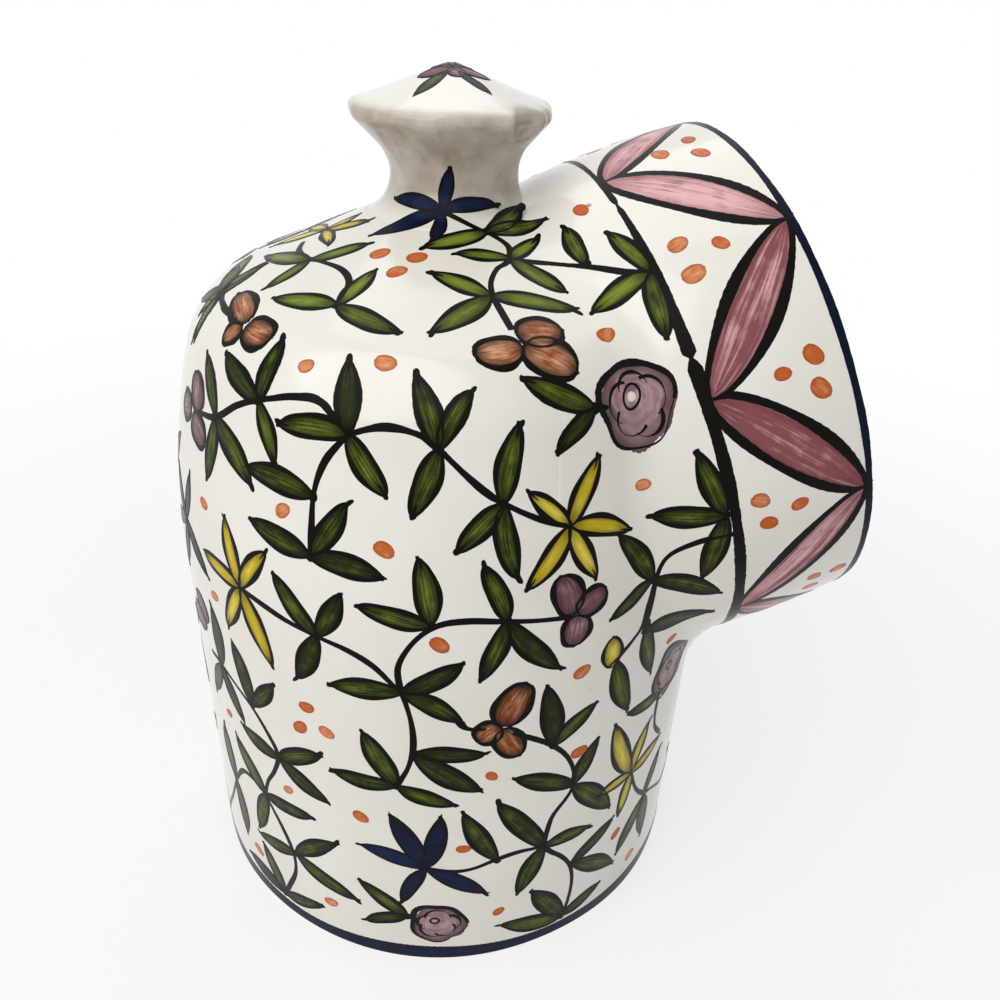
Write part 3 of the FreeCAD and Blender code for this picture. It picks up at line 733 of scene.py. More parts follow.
def potSeat(p, lift):
    # On the pot, and with the knob's lean where the place is on its stem.
    points, normals = settle(p, lift, withStem=True)
    onStem = np.hypot(points[..., 0], points[..., 1]) < stemZone["radius"]
    onStem &= points[..., 0] < stemZone["mouthSide"]
    return np.where(onStem[..., None], shapeKnob(points, knob), points), normals


def onPot(p):
    return potSeat(p, 0.0)[0]


def uprights(away):
    # Upward and rightward directions along the surface, from the direction away from it.
    up = unit(np.array([0.0, 0.0, 1.0]) - away[..., 2:] * away)
    return up, np.cross(up, away)


def markFrame(base, tip, seat):
    # Each mark's axis, its sideways direction along the surface, and its length.
    axis = tip - base
    return axis, unit(np.cross(seat(0.5 * (base + tip), 0.0)[1], axis)), np.linalg.norm(axis, axis=-1)


def fillLift(share):
    # Height of a wash, from 0 in its middle to 1 at its edge, where it sinks into the glaze.
    return paintLift["fill"] - (paintLift["fill"] + paintLift["edge"]) * np.abs(share) ** brush["edgeFall"]


def blades(base, tip, width, fullness, bend, seat):
    # Brush marks from base to tip: half width is the full width times (4u(1-u)) to a power, bowed to one side.
    u = np.linspace(0, 1, brush["rows"])[None, :, None]
    v = np.linspace(-1, 1, brush["cols"])[None, None, :]
    axis, side, long = markFrame(base, tip, seat)
    belly = 4 * u ** brush["skew"] * (1 - u ** brush["skew"])
    half = 0.5 * width[:, None, None] * np.clip(belly, 0, 1) ** fullness[:, None, None]
    shift = half * v + bend[:, None, None] * belly * long[:, None, None]
    points = base[:, None, None] + u[..., None] * axis[:, None, None] + shift[..., None] * side[:, None, None]
    points, normals = seat(points, fillLift(v) + 0 * shift)
    return points, normals, np.stack(np.broadcast_arrays(u, 0.5 + 0.5 * v + 0 * half), -1)


def bladeEdges(base, tip, width, fullness, bend, ink, seat):
    # The two outline strokes of each mark, thin at its ends, which run together past its tip.
    overrun = brush["overrun"]
    u = np.linspace(0.0, 1 + overrun, brush["lineRows"])[None]
    axis, side, long = markFrame(base, tip, seat)
    inner = np.clip(u, 0, 1) ** brush["skew"]
    belly = 4 * inner * (1 - inner)
    half = 0.5 * width[:, None] * belly ** fullness[:, None]
    flick = chance.uniform(-brush["flick"], brush["flick"], (len(base), 1))
    flick = flick * np.clip(u - brush["flickFrom"], 0, 1) / brush["flickOver"]
    paths, widths = [], []
    for hand in (-1.0, 1.0):
        shift = hand * half + bend[:, None] * belly * long[:, None] + flick
        paths.append(base[:, None] + u[..., None] * axis[:, None] + shift[..., None] * side[:, None])
        waver = 1 + brush["waver"] * np.sin(9 * u + chance.uniform(0, wholeTurn, (len(base), 1)))
        middle = np.sin(math.pi * np.clip(u / (1 + overrun), 0, 1)) ** brush["swellPower"]
        widths.append(ink * waver * (brush["thinEnds"] + brush["swell"] * middle))
    return np.concatenate(paths), np.concatenate(widths)


def strokes(paths, widths, seat):
    # Ribbons along paths: three points across, the middle one higher, so that the edges sink into the glaze.
    away = seat(paths, 0.0)[1]
    along = unit(np.gradient(paths, axis=1))
    side = unit(np.cross(away, along))
    v = np.array([-1.0, 0.0, 1.0])
    points = paths[:, :, None] + 0.5 * widths[..., None, None] * v[:, None] * side[:, :, None]
    lift = np.where(v == 0, paintLift["ink"], -paintLift["edge"]) + 0 * points[..., 0]
    points, normals = seat(points, lift)
    u = np.linspace(0, 1, paths.shape[1])[None, :, None]
    uv = np.stack(np.broadcast_arrays(u, 0.5 + 0.5 * v + 0 * points[..., 0]), -1)
    return points, normals, uv


def smoothPath(knots, count=44):
    # An even run of points on a curve through the knots: each stretch is a cubic with its neighbours' slope.
    knots = np.asarray(knots, float)
    padded = np.concatenate([2 * knots[:1] - knots[1:2], knots, 2 * knots[-1:] - knots[-2:-1]])
    t = np.linspace(0, len(knots) - 1 - 1e-6, count)
    i = t.astype(int)
    f = (t - i)[:, None]
    a, b, c, d = padded[i], padded[i + 1], padded[i + 2], padded[i + 3]
    return 0.5 * (2 * b + (c - a) * f + (2 * a - 5 * b + 4 * c - d) * f ** 2 + (3 * b - a - 3 * c + d) * f ** 3)


def places(rows, place):
    # Points of the pot at a list of places, read on the bell or in the picture.
    return place(*np.array(rows, float).T)


def spread(rows, place):
    # Base and tip of every mark of a list of sprigs, as points on the pot.
    pairs = [((row[0], row[1]), tip) for row in rows for tip in row[2:]]
    return [places([pair[k] for pair in pairs], place) for k in (0, 1)]


def bothSides(base, tip, *more):
    # The far side carries the same spray the other way round, apart from marks too near the middle to repeat.
    clear = (base[..., 1] < -middleGap) & (tip[..., 1] < -middleGap)
    pairs = [np.concatenate([base, base[clear] * farSide]), np.concatenate([tip, tip[clear] * farSide])]
    return pairs + [np.concatenate([value, value[clear]]) for value in more]


class PaintPot:
    # Gathers the marks of one colour into one mesh.
    def __init__(self):
        self.points, self.normals, self.uv, self.tone, self.faces, self.count = [], [], [], [], [], 0

    def add(self, points, normals, uv, tone):
        number, rows, cols = points.shape[:3]
        grid = gridFaces(rows, cols)[:, ::-1]
        start = self.count + np.arange(number)[:, None, None] * rows * cols
        self.faces.append((grid[None] + start).reshape(-1, 4))
        self.points.append(points.reshape(-1, 3))
        self.normals.append(normals.reshape(-1, 3))
        self.uv.append(uv.reshape(-1, 2))
        self.tone.append(np.repeat(tone, rows * cols))
        self.count += number * rows * cols

    def finish(self, name, paint, slotName):
        return addPiece(name, np.concatenate(self.points), np.concatenate(self.faces), paintOf[paint],
                        np.concatenate(self.uv), np.concatenate(self.tone), np.concatenate(self.normals))


pots = {name: PaintPot() for name in paints}


def brushLines(colour, paths, widths, tone=brush["inkTone"]):
    pots[colour].add(*strokes(paths, widths, potSeat), np.full(len(paths), tone))


def paintBlades(colour, base, tip, width, fullness, tone, ink=None, bend=brush["bend"]):
    # Fill and outline a set of marks that share a way of painting.
    number = len(base)
    fullness = np.full(number, fullness) * chance.uniform(*brush["fullness"], number)
    bend = chance.uniform(-bend, bend, number)
    pots[colour].add(*blades(base, tip, width, fullness, bend, potSeat), tone)
    if ink is not None:
        brushLines("inkBlack", *bladeEdges(base, tip, width, fullness, bend, ink, potSeat))


beaks = {"start": 2.4, "reach": (0.2, 1.5), "size": (0.7, 1.2),
         "swell": (0.35, 0.75, 0.95, 1.0, 1.0, 0.98, 0.95, 0.8, 0.35)}


def paintBeaks(base, tip, width):
    # The brush lifts off each leaf with a short dark hook past its tip.
    number = len(base)
    axis, swell = unit(tip - base), np.array(beaks["swell"])
    away = potSeat(tip, 0.0)[1]
    hook = chance.uniform(-1.0, 1.0, number)[:, None] * unit(np.cross(away, axis))
    far = chance.uniform(*beaks["reach"], number)[:, None]
    t = np.linspace(0, 1, len(swell))[None, :, None]
    start, end = tip - beaks["start"] * axis, tip + far * (axis + hook)
    paths = (1 - t) ** 2 * start[:, None] + 2 * t * (1 - t) * tip[:, None] + t ** 2 * end[:, None]
    brushLines("inkBlack", onPot(paths), width * chance.uniform(*beaks["size"], number)[:, None] * swell)


def paintStems(paths, width):
    # Lines along the paths that swell and thin a little.
    paths = onPot(np.stack(paths))
    u = np.linspace(0, 1, paths.shape[1])[None]
    swell = 1 + 0.18 * np.sin(11 * u + chance.uniform(0, wholeTurn, (len(paths), 1)))
    brushLines("inkBlack", paths, width * swell)


def paintNodes(spots, colour, size):
    # A dark blob where leaves or petals spring from.
    spots, away = potSeat(np.unique(spots.round(3), axis=0), 0.0)
    half = 0.5 * size * uprights(away)[0]
    width = size * chance.uniform(*brush["nodeWidths"], len(spots))
    paintBlades(colour, spots - half, spots + half, width, brush["nodeFullness"], np.full(len(spots), brush["inkTone"]))


# Places on the bell are read as a turn in degrees from the mouth and a rise in millimetres up the wall.
# A sprig is the place that its leaves spring from, then the place of each leaf's tip.
vine = {
    "leafWidth": 0.27, "widest": 4.6, "narrowest": 2.6, "widths": (0.88, 1.12), "length": 0.96, "fullness": 0.8,
    "ink": 1.08, "stemInk": 1.45, "beak": 1.35, "node": 2.3,
    # The second paleness range, for leaves on the dome, is raised as a painted highlight where the top light falls; the
    # neck's share takes its few leaves back down out of that light.
    "pale": (0.08, 0.42), "domeHighlightPale": (0.4, 0.9), "neckLeaves": 7, "neckPale": 0.35,
    "sprigs": [
        (-150.5, 131.5, (-158.5, 142), (-152.5, 117.5), (-138, 122)),
        (-138.5, 138.5, (-138, 151), (-152, 144), (-133, 127.5)),
        (-119, 136.5, (-121.5, 150), (-133.5, 135.5), (-111.5, 126)),
        (-125, 124, (-140.5, 125.5)),
        (-125.3, 112, (-118.5, 124.5), (-139, 115.2), (-111.5, 110.3)),
        (-103, 135.5, (-108, 148.5), (-97, 146), (-107.5, 122.5)),
        (-92, 125.3, (-89, 140), (-100, 116), (-89.5, 110)),
        (-74, 140.5, (-88, 147.5), (-82.5, 133.5)),
        (-124.5, 94.8, (-119.5, 106), (-133.5, 106), (-129.5, 81.5)),
        (-109, 84.5, (-98, 92.5), (-123, 83.3), (-98, 77)),
        (-104, 101, (-106, 115.5), (-117, 104)),
        (-91, 101.5, (-95.5, 114), (-95.5, 87.5), (-80.5, 87.5)),
        (-107, 68.5, (-93.5, 68), (-94, 57)),
        (-110.5, 58.5, (-117, 73), (-124, 59), (-99, 53.5)),
        (-80.5, 67, (-83, 84.5), (-71.5, 75.5)),
        (-75, 52.5, (-70, 64.5), (-88.5, 60), (-63.5, 37.8)),
        (-80.5, 35.5, (-91.5, 53.5), (-69, 35.5), (-85.7, 20.5)),
        (-90.5, 34.5, (-98, 51.5)),
        (-73, 25, (-61.5, 33), (-59, 14)),
        (-74, 6, (-82.5, 21), (-89.5, 11), (-63, 10.5)),
        (-109, 15.5, (-119.5, 25.5), (-118.5, 11)),
        (-136.5, 55.5, (-148.5, 57.5), (-125.5, 62.5), (-124.5, 48)),
        (-142.5, 39.5, (-152, 51.5), (-129, 41.2), (-147, 24)),
        (-135, 25, (-123.5, 36), (-147.5, 21.5), (-119.5, 17.5)),
        (-140.5, 6, (-146.5, 19.5), (-154.5, 8), (-128.5, 10.5)),
        (-143, 67, (-147, 82.5), (-135.5, 77.5)),
        (-153.5, 71, (-154, 87.5), (-160, 58.5), (-146.5, 58.5)),
        (-156, 33, (-158.5, 49.5), (-154, 14.5)),
        (-50, 30, (-59, 16.5), (-47.5, 13), (-44.5, 42)),
        (-60.5, 90.5, (-56.5, 74.5)),
        (-68, 84.5, (-62.5, 67.5)),
        (-51, 65, (-62.5, 66.5)),
        (-170.5, 151.5, (-177, 163), (-186, 156), (-183, 146), (-169.5, 140.5)),
        (-22, 20, (-34, 31), (-13, 33), (-25, 6)),
        (6, 27, (-5, 41), (15, 42), (9, 11)),
        (180, 30, (168, 41), (192, 42), (183, 14)),
        (181, 66, (170, 78), (193, 76), (171, 55), (191, 53)),
        (179, 108, (169, 118), (190, 120), (181, 93)),
    ],
    "stems": [
        ((-157, 130), (-150.5, 131.5), (-144, 136), (-138.5, 138.5), (-131, 141), (-125, 141.3), (-119.5, 136.8)),
        ((-119, 136.5), (-114, 138.4), (-110, 138.6), (-106, 137.6), (-103, 135.5)),
        ((-119.5, 136), (-123, 131), (-124.8, 125), (-125.1, 118), (-125.2, 112)),
        ((-103, 135.5), (-98.5, 131), (-95, 127.7), (-92, 125.5), (-86, 122), (-80.5, 119.8)),
        ((-142, 98.5), (-136, 97.3), (-131, 96), (-124, 94.5), (-118.5, 93), (-114, 90.3), (-110, 85.5)),
        ((-109.3, 85), (-109.6, 91), (-107, 97), (-103, 101), (-98, 102.1), (-92, 101.6), (-86, 100.8), (-79, 100)),
        ((-109, 84.5), (-107.5, 77), (-107.2, 70), (-108.3, 64), (-110.5, 58.5)),
        ((-100, 78.5), (-97.5, 75.6), (-94, 75)),
        ((-89, 73), (-84.5, 70.2), (-81, 67.3), (-77.6, 63), (-75.5, 58), (-74.8, 53), (-76, 49.5),
         (-79, 45), (-80, 40.5), (-80.4, 36), (-79, 33), (-76, 29.5), (-73.5, 25), (-72.3, 19), (-72.6, 12),
         (-74, 5)),
        ((-80.8, 35.4), (-86, 35.8), (-90.5, 34.8), (-95.5, 32.6), (-100, 32), (-105, 33)),
        ((-158, 71.5), (-153.5, 71.2), (-148, 69), (-143, 66), (-139, 61), (-136.8, 56), (-138.5, 50),
         (-141, 45), (-142.6, 39.8)),
        ((-142.6, 39.8), (-147, 41), (-151, 40), (-155, 34), (-161, 22), (-168, 11), (-172, 4)),
        ((-142.5, 39), (-139, 33), (-136.4, 27), (-135.5, 22), (-136, 17), (-138.2, 11), (-140.7, 5)),
        ((-58, 45), (-54.5, 36.5), (-50, 31), (-45, 28), (-38, 23)),
        ((-70, 84), (-67, 86), (-64, 88.5), (-62, 91), (-61.2, 96), (-60.8, 101)),
        ((-170.5, 151.5), (-164, 150.6), (-158, 150.2), (-153, 150)),
        ((-51, 65), (-51.5, 60), (-50.5, 54), (-47, 49)),
        ((-110, 15.5), (-107, 15)),
        ((-38, 23), (-30, 22.5), (-22, 20), (-12, 21), (-2, 25.5), (6, 27), (14, 25), (22, 20), (30, 22.5),
         (38, 23)),
        ((188, 4), (184, 18), (180, 30), (176, 44), (178, 56), (181, 66), (184, 80), (182, 95), (179, 108)),
        ((-75, 140.6), (-71, 140.2)),
    ],
    # Those on the dome and the neck are places in the picture: across and down from its top left corner.
    "seenSprigs": [
        (486, 232, (522, 206), (547, 218), (421, 248)),
        (510, 258, (539, 237), (453, 253), (568, 293)),
        (491, 296, (430, 272), (429, 334), (579, 310)),
        (310, 260, (265, 256), (265, 289), (371, 243)),
        (337, 305, (272, 298), (377, 269), (401, 334)),
        (222, 291, (252, 255), (268, 263), (199, 315), (194, 343)),
        (586, 264, (564, 226)),
        (650, 271, (606, 231), (590, 313), (668, 340)),
        (726, 516, (696, 450), (648, 516), (702, 580)),
        (652, 580, (619, 534), (610, 621), (722, 593)),
        (647, 630, (713, 611)),
    ],
    "seenStems": [
        ((446, 213), (472, 226), (492, 235), (508, 246), (510, 258), (505, 264), (497, 269), (491, 282),
         (493, 296), (501, 311), (512, 330)),
        ((510, 259), (532, 262), (555, 264), (590, 267), (626, 272), (651, 272)),
        ((303, 242), (299, 251), (308, 258), (323, 262), (341, 269), (349, 280), (345, 293), (337, 304)),
        ((222, 292), (223, 306), (233, 314)),
        ((734, 534), (720, 537), (696, 543), (670, 555), (658, 573), (652, 599), (647, 621), (642, 634)),
    ],
}


def paintVine(values):
    sets = [spread(values["sprigs"], onBell), spread(values["seenSprigs"], seenAt)]
    # Paleness varies at random from leaf to leaf; the dome's leaves take a higher range as a painted highlight, and the
    # last few, on the neck beside the collar, are darkened back out of it.
    pale = [chance.uniform(*values[name], len(s[0])) for name, s in zip(("pale", "domeHighlightPale"), sets)]
    pale = np.concatenate(pale)
    pale[-values["neckLeaves"]:] *= values["neckPale"]
    base, tip, pale = bothSides(*[np.concatenate([s[k] for s in sets]) for k in (0, 1)], pale)
    base, tip = onPot(base), onPot(tip)
    width = values["leafWidth"] * np.linalg.norm(tip - base, axis=-1)
    width = np.clip(width, values["narrowest"], values["widest"]) * chance.uniform(*values["widths"], len(base))
    tip = base + values["length"] * (tip - base)
    paintBlades("leafGreen", base, tip, width, values["fullness"], pale, values["ink"])
    paintBeaks(base, tip, values["beak"])
    paintNodes(base, "inkBlack", values["node"])
    paths = [smoothPath(places(stem, place)) for name, place in (("stems", onBell), ("seenStems", seenAt))
             for stem in values[name]]
    paths += [path * farSide for path in paths if path[:, 1].max() < -middleGap]
    paintStems(paths, values["stemInk"])


stars = {
    "width": 0.26, "narrowest": 2.6, "widest": 5.0, "fullness": 0.8, "pale": (0.2, 0.6), "heart": 2.6,
    "ink": {"cobaltNavy": 0.6, "strawYellow": 1.3}, "beakShare": 0.8,
    "budWidth": 5.0, "budFullness": 0.7, "budPale": 0.5,
    "navy": [(-105, 33, (-112, 49.5), (-102, 50), (-118.5, 38), (-110, 20.5), (-92.5, 23.5)),
             (-164, 103, (-161, 115), (-153.5, 94.5), (-167, 90), (-176, 98), (-172, 112))],
    "yellow": [(-80, 119.5, (-74, 131.5), (-67.5, 115.5), (-74.5, 107.5), (-87.5, 108), (-87.5, 127)),
               (-142, 98.5, (-146, 112.5), (-135, 109.5), (-154, 100.5), (-147.5, 86), (-135.3, 82.5))],
    "seenNavy": [(442, 211, (453, 168), (496, 205), (395, 199), (372, 235), (432, 240))],
    "seenYellow": [(325, 230, (276, 245), (313, 227), (360, 214), (368, 221), (330, 244)),
                   (631, 772, (616, 726), (649, 721), (659, 735), (598, 796), (618, 815))],
    "bud": [(-69, 83.5, (-69.8, 91.5))],
}


def paintStars(values):
    for colour, names in (("cobaltNavy", ("navy", "seenNavy")), ("strawYellow", ("yellow", "seenYellow"))):
        sets = [spread([row], place) for name, place in zip(names, (onBell, seenAt)) for row in values[name]]
        sets += [(s[0] * farSide, s[1] * farSide) for s in sets if s[1][:, 1].max() < -middleGap]
        base, tip = [onPot(np.concatenate([s[k] for s in sets])) for k in (0, 1)]
        width = values["width"] * np.linalg.norm(tip - base, axis=-1)
        paintBlades(colour, base, tip, np.clip(width, values["narrowest"], values["widest"]), values["fullness"],
                    chance.uniform(*values["pale"], len(base)), values["ink"][colour])
        paintBeaks(base, tip, vine["beak"] * values["beakShare"])
        paintNodes(base, "inkBlack" if colour == "strawYellow" else colour, values["heart"])
    base, tip = bothSides(*spread(values["bud"], onBell))
    width, pale = np.full(len(base), values["budWidth"]), np.full(len(base), values["budPale"])
    paintBlades("strawYellow", base, tip, width, values["budFullness"], pale, vine["ink"])


# Each berry is three or so round lobes, given by the two ends and the width of each.
berries = {
    "fullness": 0.5, "inkShare": 1.3, "pale": (0.05, 0.3), "domeHighlightPale": (0.3, 0.6),
    "mauve": [((-157, 130.5), (-162, 136.5), 6.6), ((-162, 129.5), (-168, 127.5), 6.0),
              ((-161, 127.5), (-154, 124.5), 6.0),
              ((-79, 100.5), (-81.5, 109.5), 6.2), ((-78, 100.5), (-72.5, 104.5), 5.6),
              ((-78, 100), (-78.5, 93), 6.2),
              ((-157.5, 80), (-163, 85), 6.0), ((-159, 79), (-168, 76), 6.0)],
    "brown": [((-91, 75.5), (-87, 85.8), 7.4), ((-91.5, 75.5), (-95.5, 72), 6.0),
              ((-91, 74.5), (-87.5, 66.5), 6.0)],
    "seenBrown": [((522, 348), (475, 354), 6.4), ((517, 334), (562, 331), 7.2), ((524, 347), (577, 371), 8.0),
                  ((247, 322), (240, 293), 5.8), ((247, 326), (271, 338), 6.6), ((242, 327), (223, 340), 4.8)],
}


def paintBerries(values):
    # Each berry's paleness varies at random; on the dome the range is higher, a painted highlight where the top light
    # falls.
    for colour, name, place, pale in (("roseMauve", "mauve", onBell, "pale"),
                                      ("berryBrown", "brown", onBell, "pale"),
                                      ("berryBrown", "seenBrown", seenAt, "domeHighlightPale")):
        base, tip = [places([row[k] for row in values[name]], place) for k in (0, 1)]
        base, tip, width = bothSides(base, tip, np.array([row[2] for row in values[name]]))
        tone = chance.uniform(*values[pale], len(base))
        paintBlades(colour, base, tip, width, values["fullness"], tone, vine["ink"] * values["inkShare"])


# Each rose is a turn, a rise, a radius, how far its waves are turned, and the share of it that is bare eye.
roses = {
    "places": [(-64.5, 139.3, 8.0, 0.0, 0.15), (-102.5, 13.3, 6.4, 1.2, 0.05), (-48, 70, 7.4, 2.4, 0.05)],
    "ink": 1.5, "thinnest": 0.35, "eyeInk": 0.9, "inkTone": 0.3, "washTone": 0.45,
    # Petal edges: middle and half of the turn that each spans, and its distance out as a share of the radius.
    "petalEdges": ((0.4, 0.9, 0.80), (1.7, 0.8, 0.76), (2.9, 0.9, 0.78), (4.2, 0.9, 0.74), (5.3, 0.7, 0.84)),
    "lineRows": 44, "washTurns": 49, "washRows": 9,
}


def roseStrokes(radius, seed, eye, values):
    # A wavering ring, a ring round the eye and bowed petal edges between, as runs of points on a flat disc.
    # Each petal edge draws in towards the heart at both its ends.
    a = np.linspace(0, 2 * math.pi, values["lineRows"])
    ring = radius * (1 + 0.06 * np.sin(3 * a + seed) + 0.05 * np.sin(5 * a + 2 * seed))
    heart = radius * (eye + 0.09) * (1 + 0.12 * np.sin(2 * a + seed))
    runs = [np.stack([ring * np.cos(a), ring * np.sin(a)], -1),
            np.stack([-0.12 * radius + heart * np.cos(a), 0.2 * radius + heart * 1.15 * np.sin(a)], -1)]
    s = np.linspace(-1, 1, values["lineRows"])
    for middle, half, out in values["petalEdges"]:
        c = middle + seed + half * s
        bow = radius * (out - 0.20 * s ** 2)
        runs.append(np.stack([bow * np.cos(c), bow * np.sin(c)], -1))
    return np.stack(runs)


def roseWash(radius, seed, eye, values):
    # A ring of colour round the bare eye, a little off the drawn outline, on a flat disc.
    a = np.linspace(2 * math.pi, 0, values["washTurns"])[:, None]
    r = np.linspace(0, 1, values["washRows"])[None]
    edge = radius * (1.04 + 0.07 * np.sin(3 * a + seed + 0.6) + 0.05 * np.sin(7 * a))
    bare = eye * radius * 0.8
    out = bare + r * (edge - bare)
    x = out * np.cos(a) + radius * (r * 0.05 - (1 - r) * 0.12)
    y = out * np.sin(a) + radius * ((1 - r) * 0.2 + r * -0.03)
    uv = np.stack(np.broadcast_arrays(0.5 + 0.3 * np.sin(a), 0.5 + 0.5 * r + 0 * a), -1)
    return np.stack([x, y], -1), fillLift(r) + 0 * x, uv


def paintRoses(values):
    for turn, rise, radius, seed, eye in values["places"]:
        for side in (1.0, -1.0):
            centre = onBell(turn, rise) * np.array([1.0, side, 1.0])
            up, right = uprights(potDistance(centre)[1])
            flat, lift, uv = roseWash(radius, seed, eye, values)
            points, normals = potSeat(centre + flat[..., :1] * right + flat[..., 1:] * up, lift)
            pots["roseMauve"].add(points[None], normals[None], uv[None], np.array([values["washTone"]]))
            flat = roseStrokes(radius, seed, eye, values)
            paths = onPot(centre + flat[..., :1] * right + flat[..., 1:] * up)
            u = np.linspace(0, 1, paths.shape[1])[None]
            width = values["ink"] * (0.72 + 0.5 * np.sin(5 * u + np.arange(len(paths))[:, None] * 1.7))
            width[1] = values["eyeInk"] * values["ink"]
            brushLines("inkBlack", paths, np.maximum(width, values["thinnest"]), values["inkTone"])


dots = {
    "length": 3.7, "width": 2.9, "sizes": (0.85, 1.2), "collarGrowth": 1.15, "fullness": 0.5,
    "turns": (0.6, 2.4), "pale": (0.0, 0.5),
    "places": [(-114, 150), (-130, 147), (-112, 116), (-153.5, 112), (-131, 119.5), (-65, 153.5), (-64.5, 124),
               (-102.5, 96.7), (-76, 85.5), (-74.5, 62.5), (-92.5, 61.5), (-128, 75), (-124, 69.7), (-130, 68.5),
               (-151.5, 91), (-51, 81), (-118, 47), (-97.5, 39.5), (-135, 46.5), (-89.5, 16), (-126.5, 13.5),
               (-60, 25.5), (-52, 10), (-149, 14), (-153.5, 56.5)],
    "seenPlaces": [(380, 253), (417, 257), (397, 272), (581, 210), (608, 335)],
    "collarPlaces": [(-91, 60.7), (-93, 54), (-87.3, 52.8), (-69.8, 69), (-63.5, 69.3), (-65, 62.5), (-38, 61),
                     (-42, 53.7), (-35.3, 53.5), (-13.7, 68.5), (-6.5, 69), (-9.3, 61.5), (-118.5, 71.5),
                     (-123.5, 66), (-117.5, 65.5)],
    # On the rest of the collar each space between petals has the same three, beside the tip that it faces.
    "seamThree": ((1.5, 61), (-2.5, 53.8), (3.5, 53.4)), "rimThree": ((-4.5, 69), (3, 69.2), (0.5, 62)),
}


def paintDots(values):
    centre = np.concatenate([places(values["places"], onBell), places(values["seenPlaces"], seenAt)])
    threes = [values["collarPlaces"]]
    threes += [np.array(values["seamThree"]) + (angle, 0) for angle in collarPaint["rimTips"][2:]]
    threes += [np.array(values["rimThree"]) + (angle, 0) for angle in collarPaint["seamTips"][3:]]
    threes = np.concatenate(threes)
    centre = np.concatenate([centre, centre[centre[:, 1] < -middleGap] * farSide, onCollar(*threes.T)])
    centre, away = potSeat(centre, 0.0)
    up, right = uprights(away)
    turn = chance.uniform(*values["turns"], len(centre))[:, None]
    aim = np.cos(turn) * up + np.sin(turn) * right
    size = chance.uniform(*values["sizes"], len(centre))
    size[-len(threes):] *= values["collarGrowth"]
    half = (0.5 * values["length"] * size)[:, None] * aim
    paintBlades("dotOrange", centre - half, centre + half, values["width"] * size, values["fullness"],
                chance.uniform(*values["pale"], len(centre)))


collarPaint = {
    "seamTips": (-12, -65, -119.5, -170, -220.5, -271, -321.5),
    "rimTips": (-37.5, -93, -145, -195, -246, -296, -347),
    "seamReach": 48.2, "rimReach": 74.8,
    "petalWidth": 9.4, "petalInk": 2.25, "petalFullness": 0.72, "petalBend": 0.02,
    "petalTones": (0.75, 0.06, 0.4, 0.3, 0.5, 0.3, 0.4, 0.2, 0.45, 0.35, 0.25, 0.45, 0.3, 0.6),
    "seamBand": 2.9, "seamTop": 1.3, "seamBandReach": 47.4, "rimLine": 1.7, "rimLineReach": 75.7,
    "dryBreaks": (-21, -57), "dryDepth": 0.88, "drySpan": 0.7,
}


def paintCollar(values):
    # A zigzag of petals from the seam's tips to the rim's, then a band along the seam and a line round the rim.
    seam, rim = np.array(values["seamTips"], float), np.array(values["rimTips"], float)
    nextSeam = np.append(seam[1:], seam[0] - 360)
    number = 2 * len(seam)
    base = onCollar(np.concatenate([seam, nextSeam]), np.full(number, values["seamReach"]))
    tip = onCollar(np.concatenate([rim, rim]), np.full(number, values["rimReach"]))
    paintBlades("petalPink", base, tip, np.full(number, values["petalWidth"]), values["petalFullness"],
                np.array(values["petalTones"]), values["petalInk"], values["petalBend"])
    angle = np.linspace(-180, 180, 360)
    wander = 0.14 * np.sin(np.radians(3 * angle + 40)) + 0.08 * np.sin(np.radians(7 * angle))
    ragged = 1 + 0.10 * np.sin(np.radians(5 * angle + 20)) + 0.08 * np.sin(np.radians(17 * angle))
    ragged = ragged + 0.06 * chance.uniform(-1, 1, len(angle))
    ragged[-1] = ragged[0]
    topShare = np.clip((np.abs(angle) - 8) / 50, 0, 1)
    seamWidth = values["seamTop"] + (values["seamBand"] - values["seamTop"]) * topShare
    for dryBreak in values["dryBreaks"]:  # the brush ran dry here and the band thins to a hair
        seamWidth = seamWidth * (1 - values["dryDepth"] * np.exp(-((angle - dryBreak) / values["drySpan"]) ** 2))
    for reach, width, colour in ((values["seamBandReach"], seamWidth, "inkBlack"),
                                 (values["rimLineReach"], values["rimLine"], "cobaltNavy")):
        brushLines(colour, onCollar(angle, reach + wander)[None], (width * ragged)[None])


footBand = {"rise": 2.7, "width": 4.2, "tone": 0.4}


def paintFoot(values):
    # A band round the foot that wanders and swells a little.
    angle = np.linspace(-180, 180, 240)
    wander = 0.25 * np.sin(np.radians(4 * angle + 30)) + 0.15 * np.sin(np.radians(9 * angle))
    path = onBell(angle, values["rise"] + 0.5 * wander)
    width = values["width"] * (1 + 0.15 * np.sin(np.radians(6 * angle + 10)))
    brushLines("cobaltNavy", path[None], width[None], values["tone"])


# The flower on the knob's tip: two leaves and five petals, each by its two ends on the plan.
knobPaint = {
    "ink": 0.7, "pale": (0, 0.3), "lift": 0.05, "leafGreen": (2.1, 0.8), "roseMauve": (3.8, 0.5),
    "leaves": [((-1.5, -3.8), (-8.8, -11.0)), ((0.8, -4.2), (5.9, -11.4))],
    "petals": [((0.0, -2.6), (-6.6, -3.4)), ((0.0, -2.6), (7.0, -3.6)), ((0.0, -2.4), (-3.0, 4.5)),
               ((0.0, -2.4), (4.0, 4.0)), ((-0.5, -2.8), (1.5, -6.0))],
}


